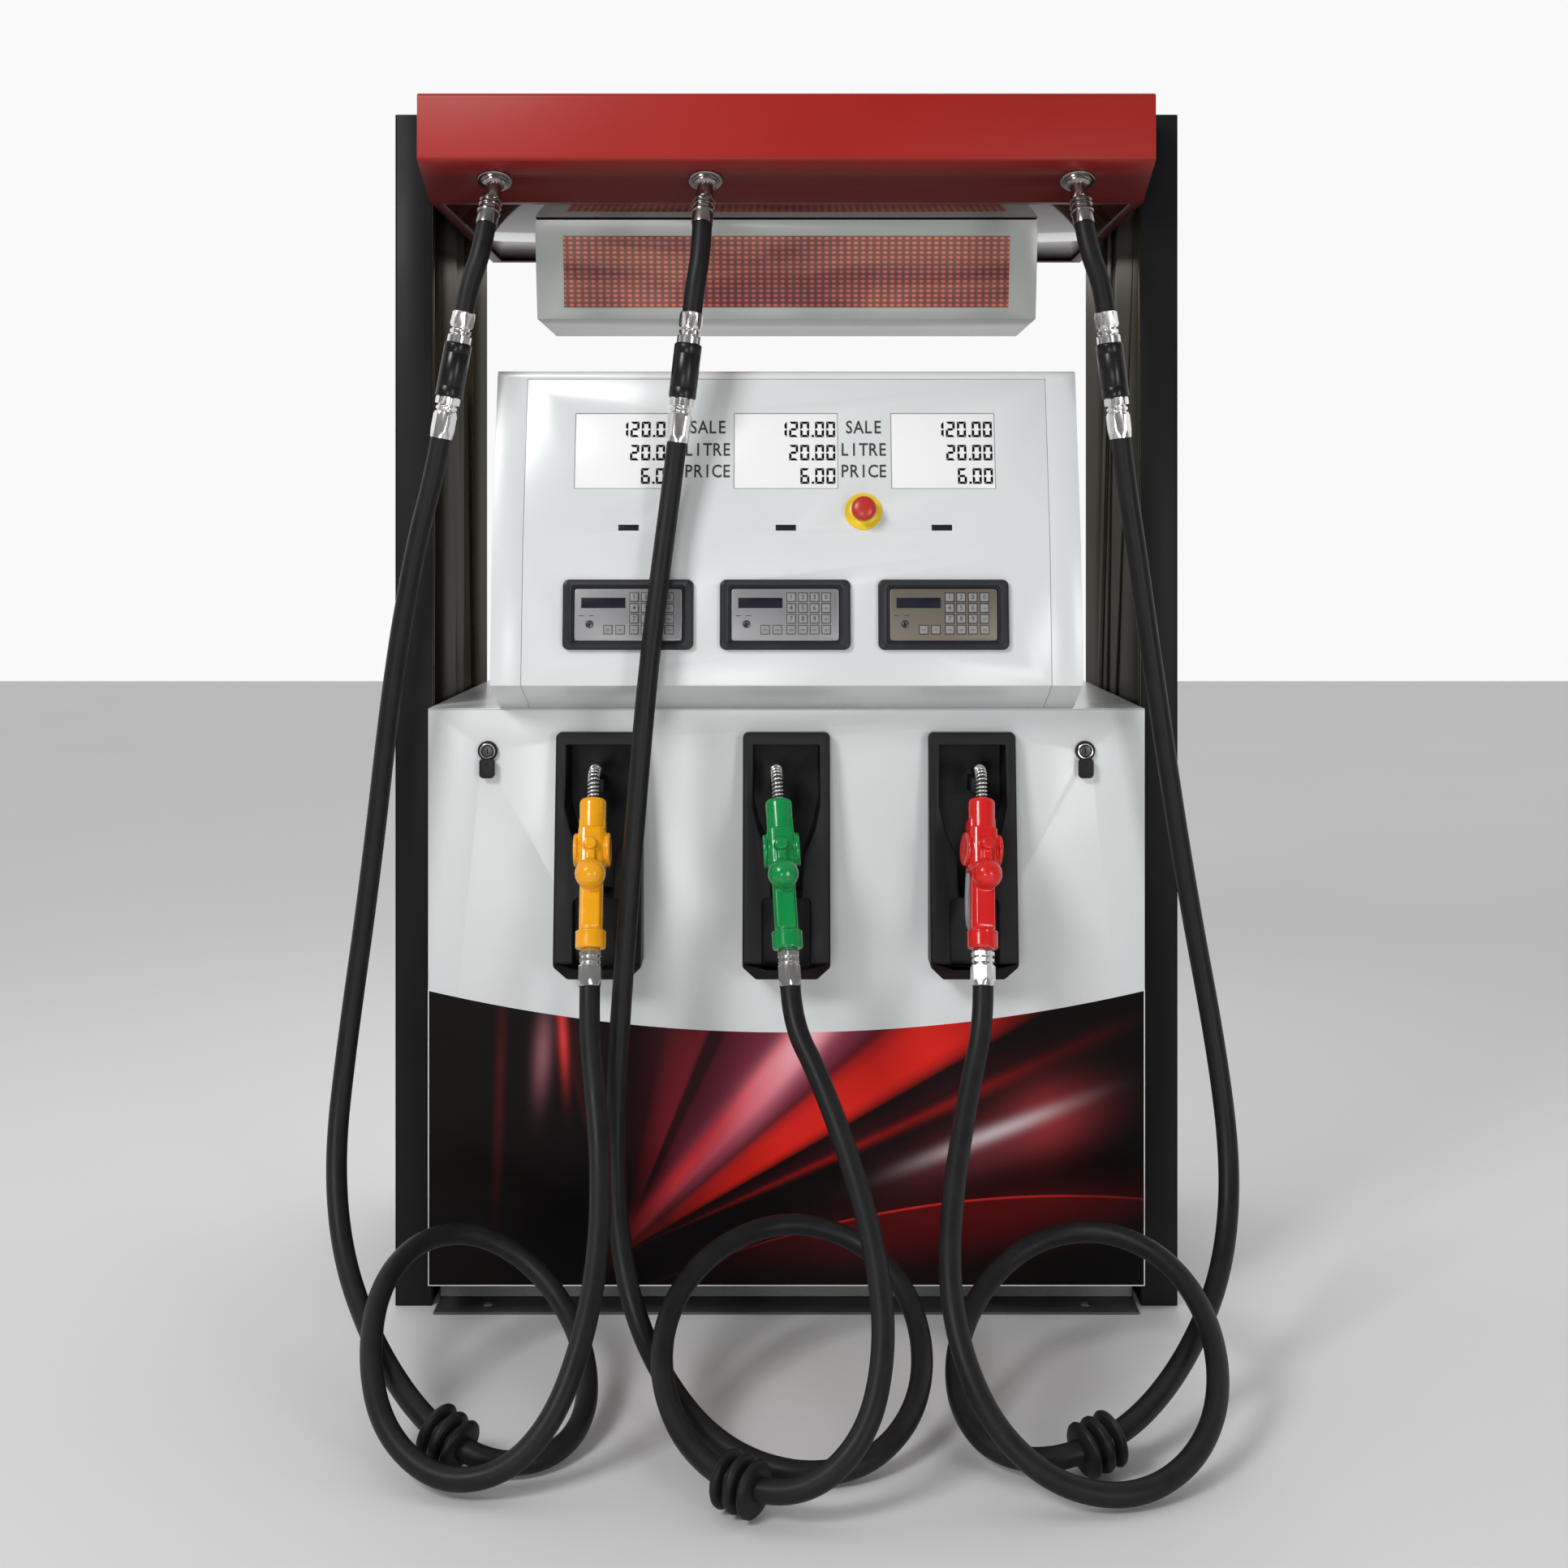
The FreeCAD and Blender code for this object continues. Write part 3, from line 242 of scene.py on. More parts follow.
def make_finishes():
    """Every plain material. The canopy's slope carries painted shade: its red darkens below its front."""
    finish_of("silver_paint", (0.70, 0.725, 0.725), 0.30, 0.02, 2.5, 1500, 0.000006, Coat_Weight=0.2,
              Coat_Roughness=0.22)
    finish_of("soffit_gloss", (0.045, 0.008, 0.009), 0.08, 0.1, 3.0, 1000, 0.000002, rough_spread=0.03,
              Coat_Weight=0.6, Coat_Roughness=0.04)
    finish_of("black_paint", 0.012, 0.46, 0.15, 4.0, 900, 0.00001, Specular_IOR_Level=0.12)
    finish_of("sign_paint", (0.50, 0.52, 0.50), 0.3, 0.03, 2.0, 1500, 0.000006, Coat_Weight=0.3,
              Coat_Roughness=0.15)
    finish_of("liner_metal", (0.075, 0.070, 0.058), 0.34, 0.05, 2.0, 240, 0.000002, stretch=(1, 1, 0.02),
              rough_spread=0.03, Metallic=1.0, Specular_Tint=(0.24, 0.23, 0.20, 1))
    finish_of("frame_steel", (0.10, 0.105, 0.10), 0.42, 0.25, 9.0, 500, 0.00003, Metallic=0.55)
    finish_of("chrome", (0.82, 0.81, 0.79), 0.2, 0.04, 20.0, 700, 0.000001, rough_spread=0.03, Metallic=1.0)
    finish_of("spout_core", 0.05, 0.5, 0.2, 20.0, 900, 0.00001, Metallic=0.5)
    finish_of("outlet_steel", (0.36, 0.34, 0.32), 0.2, 0.06, 20.0, 700, 0.000001, rough_spread=0.03,
              Metallic=1.0)
    finish_of("lock_steel", 0.07, 0.35, 0.1, 40.0, 900, 0.000002, Metallic=0.7)
    finish_of("steel", 0.55, 0.3, 0.12, 15.0, 900, 0.00001, Metallic=1.0)
    finish_of("boot_plastic", (0.013, 0.013, 0.014), 0.42, 0.15, 12.0, 1600, 0.00004,
              Specular_IOR_Level=0.18)
    finish_of("rubber", 0.010, 0.46, 0.25, 25.0, 1400, 0.00005, Specular_IOR_Level=0.22)
    finish_of("sleeve_black", 0.010, 0.27, 0.2, 25.0, 1200, 0.000003, Specular_IOR_Level=0.3)
    finish_of("bezel_plastic", (0.020, 0.023, 0.027), 0.38, 0.12, 20.0, 1800, 0.00003,
              Specular_IOR_Level=0.25)
    finish_of("lever_plastic", (0.24, 0.24, 0.25), 0.4, 0.12, 30.0, 1500, 0.00003)
    finish_of("pump_iron", (0.05, 0.09, 0.16), 0.5, 0.25, 10.0, 350, 0.0002)
    finish_of("motor_paint", (0.12, 0.13, 0.14), 0.45, 0.2, 10.0, 500, 0.0001)
    finish_of("cast_aluminium", 0.5, 0.45, 0.15, 12.0, 450, 0.00015, Metallic=0.9)
    finish_of("pipe_steel", (0.35, 0.35, 0.36), 0.35, 0.15, 10.0, 600, 0.00004, Metallic=0.9)
    finish_of("grey_box", (0.25, 0.26, 0.27), 0.45, 0.08, 6.0, 900, 0.00003)
    finish_of("lcd_white", (0.88, 0.885, 0.88), 0.25, 0.01, 5.0, 1500, 0.000002, Specular_IOR_Level=0.3)
    finish_of("lcd_black", 0.008, 0.3, 0.1, 60.0, 1500, 0.000002, Specular_IOR_Level=0.0)
    finish_of("label_ink", (0.03, 0.034, 0.034), 0.5, 0.1, 60.0, 1500, 0.000002)
    finish_of("stop_yellow", (0.88, 0.62, 0.01), 0.32, 0.05, 25.0, 1500, 0.00001)
    finish_of("stop_red", (0.50, 0.03, 0.018), 0.3, 0.06, 30.0, 1500, 0.00001)
    finish_of("key_steel", 0.27, 0.45, 0.04, 60.0, 900, 0.000002, Metallic=0.25)
    finish_of("plate_steel", (0.28, 0.276, 0.284), 0.42, 0.04, 8.0, 900, 0.000003, stretch=(0.03, 1, 1),
              Metallic=0.6)
    finish_of("plate_bronze", (0.165, 0.145, 0.118), 0.42, 0.04, 8.0, 900, 0.000003, stretch=(0.03, 1, 1),
              Metallic=0.6)
    finish_of("small_screen", (0.008, 0.008, 0.018), 0.45, 0.3, 30.0, 900, 0.000001, Specular_IOR_Level=0.15)
    finish_of("trim_white", (0.8, 0.8, 0.79), 0.35, 0.03, 8.0, 1500, 0.00001)
    finish_of("nozzle_yellow", (0.86, 0.37, 0.003), 0.24, 0.06, 30.0, 500, 0.000012, Coat_Weight=0.45,
              Coat_Roughness=0.06, Specular_IOR_Level=0.3)
    finish_of("nozzle_green", (0.002, 0.25, 0.055), 0.24, 0.08, 30.0, 500, 0.000012, Coat_Weight=0.45,
              Coat_Roughness=0.06, Specular_IOR_Level=0.3)
    finish_of("nozzle_red", (0.66, 0.012, 0.010), 0.24, 0.06, 30.0, 500, 0.000012, Coat_Weight=0.45,
              Coat_Roughness=0.06, Specular_IOR_Level=0.3)
    canopy = finish_of("canopy_paint_and_shade", (0.37, 0.018, 0.013), 0.38, 0.05, 3.0, 1500, 0.000006,
                       Coat_Weight=0.05, Coat_Roughness=0.3, Specular_IOR_Level=0.2)
    # Painted shade: below the front, the canopy's red goes to a dark red that stands for the shade on its
    # slope
    front = canopy.shader.inputs["Base Color"].links[0].from_socket
    upward = canopy.between(canopy.axes()["Z"], CANOPY_SHADE_HEIGHTS[0], CANOPY_SHADE_HEIGHTS[1])
    canopy.use("Base Color", canopy.mix(upward, (0.105, 0.013, 0.011), front))


make_finishes()


# ---------------------------------------------------------------- mesh helpers

def placed(name, data):
    """A new object in the scene."""
    made = bpy.data.objects.new(name, data)
    bpy.context.scene.collection.objects.link(made)
    return made


def face_matrix(origin, up, across=0.0):
    """Local x runs across a face, y up it and z out of it."""
    x_axis = Vector((1, 0, 0))
    z_axis = x_axis.cross(Vector(up)).normalized()
    y_axis = z_axis.cross(x_axis)
    turn = Matrix((x_axis, y_axis, z_axis)).transposed().to_4x4()
    return Matrix.Translation(Vector(origin) + Vector((across, 0, 0))) @ turn


def axis_matrix(start, direction):
    """Local z runs along a direction."""
    turn = Vector(direction).to_track_quat("Z", "Y").to_matrix().to_4x4()
    return Matrix.Translation(Vector(start)) @ turn


def nozzle_matrix(side):
    """Local y runs up a nozzle and z out of its front."""
    up = Vector(NOZZLE_NECK[side]) - Vector(NOZZLE_FOOT[side])
    along = up.normalized()
    out = Matrix.Rotation(math.radians(NOZZLE_TWIST[side]), 3,
                          along) @ Vector((1, 0, 0)).cross(up).normalized()
    turn = Matrix((along.cross(out), along, out)).transposed().to_4x4()
    return Matrix.Translation(Vector(NOZZLE_FOOT[side])) @ turn


def ring_faces(rings, count, hollow=False):
    """The faces over rings of points, closed with two caps or, if hollow, back to the first ring."""
    faces = []
    for ring in range(rings if hollow else rings - 1):
        low, high = ring * count, (ring + 1) % rings * count
        for i in range(count):
            j = (i + 1) % count
            faces.append((low + i, low + j, high + j, high + i))
    if not hollow:
        faces += [tuple(range(count))[::-1], tuple(range((rings - 1) * count, rings * count))]
    return faces


class Parts:
    """Gathers closed shapes into one mesh."""

    def __init__(self):
        self.verts = []
        self.faces = []

    def add(self, verts, faces, matrix=None):
        start = len(self.verts)
        matrix = matrix or Matrix.Identity(4)
        self.verts += [matrix @ Vector(v) for v in verts]
        self.faces += [[i + start for i in face] for face in faces]
        return self

    def lathe(self, profile, matrix=None, segments=72):
        """Rings of (along, radius) or (along, radius, flats), in mm, about local z.

        The flats cut a ring to a hexagon."""
        verts = []
        for along, radius, *flats in profile:
            for i in range(segments):
                turn = 2 * math.pi * i / segments
                reach = radius
                if flats:
                    reach = min(radius, flats[0] / math.cos((turn + math.pi / 6) % (math.pi / 3)
                                                            - math.pi / 6))
                verts.append(Vector((reach * math.cos(turn), reach * math.sin(turn), along)) * MM)
        return self.add(verts, ring_faces(len(profile), segments), matrix)

    def block(self, low, high, matrix=None, radius=0.0, segments=2, axis=None):
        """A box, with its edges rounded, or only those along one axis."""
        mesh = bmesh.new()
        bmesh.ops.create_cube(mesh, size=1)
        size = Vector(high) - Vector(low)
        middle = (Vector(high) + Vector(low)) / 2
        for vert in mesh.verts:
            vert.co = Vector(c * s for c, s in zip(vert.co, size)) + middle
        if radius:
            edges = mesh.edges[:]
            if axis is not None:
                edges = [e for e in edges if abs((e.verts[0].co - e.verts[1].co)[axis]) > 1e-7]
            bmesh.ops.bevel(mesh, geom=edges, offset=radius, segments=segments, profile=0.5, affect="EDGES")
        mesh.verts.index_update()
        self.add([v.co.copy() for v in mesh.verts], [[v.index for v in f.verts] for f in mesh.faces], matrix)
        mesh.free()
        return self

    def tube(self, points, radius, matrix=None, segments=16):
        """A round bar along points."""
        points = [Vector(p) for p in points]
        ways = []
        for before, after in zip(points[:1] + points[:-1], points[1:] + points[-1:]):
            ways.append((after - before).normalized())
        side = ways[0].orthogonal().normalized()
        verts = []
        for point, way in zip(points, ways):
            side = (side - way * side.dot(way)).normalized()
            other = way.cross(side)
            for i in range(segments):
                turn = 2 * math.pi * i / segments
                verts.append(point + (side * math.cos(turn) + other * math.sin(turn)) * radius)
        return self.add(verts, ring_faces(len(points), segments), matrix)

    def prism(self, outline, low, high, matrix=None):
        """Solid of an (x, y) outline between two local z planes."""
        verts = [(x, y, low) for x, y in outline] + [(x, y, high) for x, y in outline]
        return self.add(verts, ring_faces(2, len(outline)), matrix)

    def piece(self, name, material, slot, body=FIXED, sharp=32.0):
        mesh = bpy.data.meshes.new(name)
        mesh.from_pydata(self.verts, [], self.faces)
        mesh.update()
        tidy = bmesh.new()
        tidy.from_mesh(mesh)
        bmesh.ops.recalc_face_normals(tidy, faces=tidy.faces)
        tidy.to_mesh(mesh)
        tidy.free()
        return dress(placed(name, mesh), material, slot, body, sharp)


def rounded_rings(parts, rings, place, hollow=False):
    """A stack of rounded rectangles, given as half width, half height, corner radius and level, in mm."""
    corner_steps = 5
    verts = []
    for half_x, half_y, radius, level in rings:
        for quarter, (sx, sy) in enumerate(((1, 1), (-1, 1), (-1, -1), (1, -1))):
            for k in range(corner_steps + 1):
                turn = math.pi / 2 * (quarter + k / corner_steps)
                x = sx * (half_x - radius) + radius * math.cos(turn)
                y = sy * (half_y - radius) + radius * math.sin(turn)
                verts.append(Vector((x, y, level)) * MM)
    parts.add(verts, ring_faces(len(rings), 4 * (corner_steps + 1), hollow), place)


def sheet_of(columns, rows, point):
    """A thin closed sheet: point(i, j, front) gives a corner of its grid, on the front or on the back."""
    verts = [point(i, j, front) for front in (True, False) for j in range(rows + 1)
             for i in range(columns + 1)]
    sheet = (rows + 1) * (columns + 1)
    faces = []
    for j in range(rows):
        for i in range(columns):
            a = j * (columns + 1) + i
            quad = (a, a + 1, a + columns + 2, a + columns + 1)
            faces += [quad, tuple(v + sheet for v in quad[::-1])]
    rim = list(range(columns + 1)) + [(j + 1) * (columns + 1) - 1 for j in range(1, rows + 1)]
    rim += [rows * (columns + 1) + i for i in range(columns - 1, -1, -1)]
    rim += [j * (columns + 1) for j in range(rows - 1, 0, -1)]
    for a, b in zip(rim, rim[1:] + rim[:1]):
        faces.append((a, a + sheet, b + sheet, b))
    return verts, faces


def dress(made, material, slot, body=FIXED, sharp=32.0):
    """Gives a piece its material, its shading and its body. The slot that it is handed is not used."""
    made.data.materials.clear()
    made.data.materials.append(MATERIALS[material])
    if made.type == "MESH":
        made.data.polygons.foreach_set("use_smooth", [True] * len(made.data.polygons))
        made.data.set_sharp_from_angle(angle=math.radians(sharp))
    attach(made, body)
    return made


def evaluated_mesh(made):
    """A mesh of an object as it is seen, with its modifiers or its curve's shape applied."""
    return bpy.data.meshes.new_from_object(made.evaluated_get(bpy.context.evaluated_depsgraph_get()))


def mesh_of(name, curve):
    """The mesh that a curve gives."""
    ghost = placed(name, curve)
    mesh = evaluated_mesh(ghost)
    bpy.data.objects.remove(ghost)
    return mesh


def settle(made):
    """Applies the modifiers of a piece to its mesh."""
    bpy.context.view_layer.update()
    mesh = evaluated_mesh(made)
    made.modifiers.clear()
    made.data = mesh


def refined(node, material, width=0.6, segments=2, angle=35.0):
    """A CAD node rebuilt with rounded edges. The new piece stands for the node."""
    source = frame["nodes"][node]
    mesh = source.data.copy()
    tidy = bmesh.new()
    tidy.from_mesh(mesh)
    bmesh.ops.remove_doubles(tidy, verts=tidy.verts, dist=2e-6)
    bmesh.ops.dissolve_limit(tidy, angle_limit=math.radians(0.6), verts=tidy.verts, edges=tidy.edges)
    tidy.to_mesh(mesh)
    tidy.free()
    made = placed(node + "_shell", mesh)
    bevel = made.modifiers.new("edges", "BEVEL")
    bevel.width = width * MM
    bevel.segments = segments
    bevel.limit_method = "ANGLE"
    bevel.angle_limit = math.radians(angle)
    bevel.use_clamp_overlap = False
    settle(made)
    dress(made, material, SLOTS[node], source["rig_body"])
    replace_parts(made, node)


def repaint(node, material):
    """A CAD node that is shown as it is, with its own material."""
    source = frame["nodes"][node]
    source.data.materials.clear()
    source.data.materials.append(MATERIALS[material])


# ---------------------------------------------------------------- camera, floor and light

def make_camera():
    data = bpy.data.cameras.new("photo_view")
    data.sensor_width = SENSOR
    data.lens = LENS
    data.shift_x, data.shift_y = LENS_SHIFT
    data.clip_end = 100
    camera = placed("photo_view", data)
    camera.location = CAMERA_PLACE
    camera.rotation_euler = (math.pi / 2, 0, 0)
    bpy.context.scene.camera = camera


def lamp(name, place, target, size, power):
    data = bpy.data.lights.new(name, "AREA")
    data.shape = "RECTANGLE"
    data.size, data.size_y = size
    data.spread = math.radians(100)
    data.energy = power
    made = placed(name, data)
    made.location = place
    made.rotation_euler = (Vector(target) - Vector(place)).to_track_quat("-Z", "Y").to_euler()


def make_world():
    """Even light that is bright behind the object and dim in front of it."""
    world = bpy.data.worlds.new("studio")
    world.use_nodes = True
    tree = world.node_tree
    way = tree.nodes.new("ShaderNodeTexCoord")
    split = tree.nodes.new("ShaderNodeSeparateXYZ")
    tree.links.new(way.outputs["Generated"], split.inputs[0])
    shades = []
    for axis, stops in (("Y", ((-1.0, 0.13), (-0.25, 0.15), (0.25, 0.95), (1.0, 0.95))),
                        ("Z", ((-1.0, 0.0), (0.25, 0.0), (0.75, 0.28), (1.0, 0.32)))):
        spread = tree.nodes.new("ShaderNodeMapRange")
        spread.inputs["From Min"].default_value = -1.0
        tree.links.new(split.outputs[axis], spread.inputs["Value"])
        ramp = tree.nodes.new("ShaderNodeValToRGB").color_ramp
        for index, (place, level) in enumerate(stops):
            stop = ramp.elements[index] if index < 2 else ramp.elements.new(1.0)
            stop.position = (place + 1) / 2
            stop.color = (level, level, level, 1)
        tree.links.new(spread.outputs["Result"], ramp.id_data.nodes[-1].inputs["Fac"])
        shades.append(ramp.id_data.nodes[-1].outputs["Color"])
    join = tree.nodes.new("ShaderNodeMix")
    join.data_type = "RGBA"
    join.blend_type = "LIGHTEN"
    join.inputs["Factor"].default_value = 1.0
    tree.links.new(shades[0], join.inputs["A"])
    tree.links.new(shades[1], join.inputs["B"])
    tree.links.new(join.outputs["Result"], tree.nodes["Background"].inputs["Color"])
    bpy.context.scene.world = world


def make_studio():
    make_world()
    bpy.context.scene.view_settings.view_transform = "Standard"
    floor = bpy.data.meshes.new("studio_floor")
    reach = 14.0
    floor.from_pydata([(-reach, -reach, 0), (reach, -reach, 0), (reach, reach, 0), (-reach, reach, 0)], [],
                      [(0, 1, 2, 3)])
    made = placed("studio_floor", floor)
    finish_of("studio_floor", 0.74, 0.6, 0.01, 1.0, 40.0, 0.00002)
    floor.materials.append(MATERIALS["studio_floor"])
    lamp("key_light", (-2.9, -3.9, 4.0), (0, 0, 1.0), (1.5, 1.5), 46)
    lamp("fill_light", (2.4, -4.4, 1.3), (0, 0, 0.9), (0.9, 1.6), 13)
    lamp("low_light", (-0.8, -5.0, 0.9), (0, 0, 0.7), (1.2, 0.8), 9)
    lamp("back_light", (0.5, 3.5, 3.0), (0, 0, 1.2), (2.0, 1.6), 9)


make_camera()
make_studio()


# ---------------------------------------------------------------- hoses

def spline_curve(name, points, diameter):
    curve = bpy.data.curves.new(name, "CURVE")
    curve.dimensions = "3D"
    spline = curve.splines.new("NURBS")
    spline.points.add(len(points) - 1)
    for control, point in zip(spline.points, points):
        control.co = (*point, 1)
    spline.order_u = 3
    spline.use_endpoint_u = True
    spline.resolution_u = 10
    curve.bevel_depth = diameter / 2
    curve.bevel_resolution = 7
    curve.use_fill_caps = True
    return placed(name, curve)


def centreline(made):
    """The points along a curve's own line."""
    line = made.data.copy()
    line.bevel_depth = 0
    return [v.co.copy() for v in mesh_of("centreline", line).vertices]


def make_ring(side, line):
    """The rubber protector on a hose: three rounded fins on a sleeve, set along the hose at one point."""
    centre = min(range(len(line)), key=lambda i: (line[i] - Vector(RING_PLACE[side])).length)
    way = (line[centre + 1] - line[centre - 1]).normalized()
    half = [(29, 16.2), (29, 20.5), (27.8, 32), (26.2, 35), (24, 37.2), (20.5, 38), (18, 36.6), (16, 33),
            (13.2, 24.6), (9.2, 24), (6.6, 33), (4.8, 36.2), (2, 37.7)]
    profile = [(-along, radius) for along, radius in half] + half[::-1]
    return Parts().lathe(profile, axis_matrix(line[centre], way), 64).piece(
        f"hose_ring_{side}", "rubber", "hose_rubber", sharp=40)


def breakaway_profile(span):
    """Along a breakaway from the whip hose down to the long hose."""
    hexagon = 16.6
    upper = [(0, 16.8), (1.5, 18), (7, 19, hexagon), (22, 19, hexagon), (26, 16.5), (26.5, 14), (28.5, 14),
             (29, 15.8), (30, 17.2, 15.2), (34.5, 17.2, 15.2), (36, 15.6), (36.5, 14), (37.5, 14),
             (38, 18.2), (39.5, 19), (50, 19), (51.5, 18.2)]
    lower = [(137.5, 18.6), (139, 19.6, 17.8), (149, 19.6, 17.8), (150, 18), (150.5, 14), (152.5, 14),
             (153, 16), (154.5, 17.2, 15.4), (158, 17.2, 15.4), (159, 15), (160, 15), (162, 17.2),
             (166, 19.2, 17), (span - 12, 19.2, 17), (span - 6, 18), (span, 17.2)]
    return upper, lower


def make_breakaway(side):
    top = Vector(WHIP_ROUTE[side][-1])
    way = Vector(HOSE_ROUTE[side][0]) - top
    upper, lower = breakaway_profile(way.length / MM)
    place = axis_matrix(top, way)
    fittings = Parts().lathe(upper, place).lathe(lower, place).lathe([(50, 16), (139, 16)], place)
    metal = fittings.piece(f"breakaway_fittings_{side}", "chrome", "chrome_parts", sharp=18)
    sleeve = [(51.2, 17.5), (51.2, 20.5), (52.5, 21.6), (54, 21.9), (66, 21.9), (66.8, 21.5), (67.6, 21.9),
              (120, 21.9), (120.8, 21.5), (121.6, 21.9), (135, 21.9), (136.8, 21.4), (137.8, 20.5),
              (137.8, 17.5)]
    Parts().lathe(sleeve, place).piece(f"breakaway_sleeve_{side}", "sleeve_black", "breakaway_black")
    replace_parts(metal, f"breakaway_{side}")


def make_hoses():
    rings = []
    for side in SIDES:
        make_breakaway(side)
        whip = spline_curve(f"whip_{side}", WHIP_ROUTE[side], HOSE_DIAMETER)
        dress(whip, "rubber", "hose_rubber")
        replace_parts(whip, f"whip_hose_{side}")
        hose = spline_curve(f"long_hose_{side}", HOSE_ROUTE[side], HOSE_DIAMETER)
        dress(hose, "rubber", "hose_rubber")
        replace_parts(hose, f"hose_{side}")
        ring = make_ring(side, centreline(hose))
        rings.append(ring)
    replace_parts(rings[0], "hose_rings")


make_hoses()


# ---------------------------------------------------------------- nozzles

def voxel_skin(parts, voxel, rounds, name):
    """One smooth cast skin around overlapping shapes."""
    mesh = bpy.data.meshes.new(name)
    mesh.from_pydata(parts.verts, [], parts.faces)
    mesh.update()
    made = placed(name, mesh)
    skin = made.modifiers.new("skin", "REMESH")
    skin.mode = "VOXEL"
    skin.voxel_size = voxel
    soften = made.modifiers.new("soften", "SMOOTH")
    soften.factor = 0.5
    soften.iterations = rounds
    settle(made)
    result = made.data
    bpy.data.objects.remove(made)
    return result


def nozzle_shape():
    """The nozzle's casting in its own frame: y up from the hose, z out of the front."""
    up = axis_matrix((0, 0, 0), (0, 1, 0))
    parts = Parts()
    parts.block((-0.0185, 0.080, -0.0175), (0.0185, 0.195, 0.0175), radius=0.012, segments=4, axis=1)
    parts.block((-0.0150, 0.088, 0.0150), (0.0150, 0.170, 0.0195), radius=0.003, segments=2)
    parts.lathe([(57.5, 22.5), (59, 23.8), (81.5, 23.8), (83.5, 22.5), (85, 19.5), (93, 18.5)], up)
    parts.lathe([(81.5, 23.8), (83, 24.3), (84.5, 23.8), (86, 20)], up)
    parts.block((-0.0215, 0.178, -0.0250), (0.0215, 0.245, 0.0240), radius=0.012, segments=4, axis=1)
    for side in (-1, 1):
        boss = [(0, 22.5), (21.5, 22.5), (22.5, 26.5), (26.5, 27), (28.5, 25.5), (29, 20), (28.5, 5)]
        parts.lathe(boss, axis_matrix((0, 0.213, -0.003), (side, 0, 0)), 48)
    neck = [(234, 18), (243, 20.5), (250, 20.8), (270, 21.2), (286, 21.6), (290.5, 20.8), (293.5, 18.5),
            (295, 13)]
    parts.lathe(neck, up)
    parts.block((-0.0210, 0.238, -0.020), (-0.0170, 0.262, 0.010), radius=0.002)
    parts.block((0.0170, 0.238, -0.020), (0.0210, 0.262, 0.010), radius=0.002)
    dome = [(-6, 20), (12, 21.5), (18.5, 22.2), (20, 24), (22.5, 24.2), (24.5, 23.6), (29, 22.5), (34, 20),
            (38.5, 16), (42, 10.5), (43.8, 4)]
    parts.lathe(dome, axis_matrix((0, 0.1765, 0.007), (0, -0.34, 0.94)), 64)
    parts.lathe([(0, 11), (30, 10.5), (33.5, 9.8), (35, 8)], axis_matrix((0, 0.2160, 0.004), (0, 0, 1)), 40)
    parts.block((-0.0075, 0.185, 0.010), (0.0075, 0.214, 0.0330), radius=0.003)
    for side in (-1, 1):
        low = (side * 0.0135 - 0.0025, 0.197, -0.0395)
        parts.block(low, (low[0] + 0.005, 0.215, -0.020), radius=0.0012)
    return voxel_skin(parts, 0.00105, 5, "nozzle_casting")


def swivel_profile():
    """Along the swivel that joins a hose to its nozzle."""
    return [(0, 16.2), (1, 17.2), (7.5, 19.6, 17.2), (12, 19.8, 17.2), (30, 19.8, 17.2), (32.5, 17.2),
            (33.5, 15), (36, 15), (36.6, 16.5), (37.2, 18.2, 16), (41.8, 18.2, 16), (42.6, 16.2),
            (43.2, 14.5), (45.2, 14.5), (45.8, 16.5), (46.4, 18.6, 16.4), (52, 18.6, 16.4), (53, 16.5),
            (56, 15), (56.8, 14.9)]


def spout_line(length, back):
    """Points up the spout: straight out of the neck, then bent back into the boot."""
    up = Vector((0, 1, 0))
    corner = Vector((0, length + 0.048, 0))
    turn = up.angle(back)
    cut = 0.0255
    centre_way = (back - up).normalized()
    radius = cut / math.tan(turn / 2)
    centre = corner + centre_way * radius / math.cos(turn / 2)
    start = Vector((0, length - 0.015, 0))
    first = corner - up * cut
    points = [start.lerp(first, i / 10) for i in range(11)]
    spoke = first - centre
    axis = up.cross(back).normalized()
    points += [centre + Matrix.Rotation(turn * i / 16, 3, axis) @ spoke for i in range(1, 17)]
    last = points[-1]
    points += [last + back * (0.0895 - cut) * i / 14 for i in range(1, 15)]
    return points


CORE_RADIUS = 0.0072
COIL_RADIUS = 0.0079
WIRE_RADIUS = 0.0018
COIL_PITCH = 0.0062
COIL_STEPS = 24


def coil_line(points):
    """A helix around a line, clear of its ends."""
    reach = [0.0]
    for before, after in zip(points, points[1:]):
        reach.append(reach[-1] + (after - before).length)
    last = len(points) - 1
    side_way = Vector((1, 0, 0))
    coil = []
    for i in range(int((reach[-1] - 0.012) / COIL_PITCH * COIL_STEPS)):
        along = 0.010 + i * COIL_PITCH / COIL_STEPS
        k = next(k for k in range(last) if reach[k + 1] >= along)
        share = (along - reach[k]) / (reach[k + 1] - reach[k])
        way = (points[min(k + 1, last)] - points[k]).normalized()
        turn = 2 * math.pi * i / COIL_STEPS
        spoke = side_way * math.cos(turn) + way.cross(side_way) * math.sin(turn)
        coil.append(points[k].lerp(points[k + 1], share) + spoke * COIL_RADIUS)
    return coil


def make_spout(side, place):
    length = (Vector(NOZZLE_NECK[side]) - Vector(NOZZLE_FOOT[side])).length
    points = spout_line(length, place.to_3x3().inverted() @ Vector((0, 1, -0.12)).normalized())
    spout = Parts().tube(points, CORE_RADIUS, place, 28)
    spring = Parts().tube(coil_line(points), WIRE_RADIUS, place, 10)
    spout.piece(f"spout_tube_{side}", "spout_core", "spout_aluminium")
    made = spring.piece(f"spout_spring_{side}", "chrome", "spout_aluminium", sharp=60)
    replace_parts(made, f"nozzle_spout_{side}")


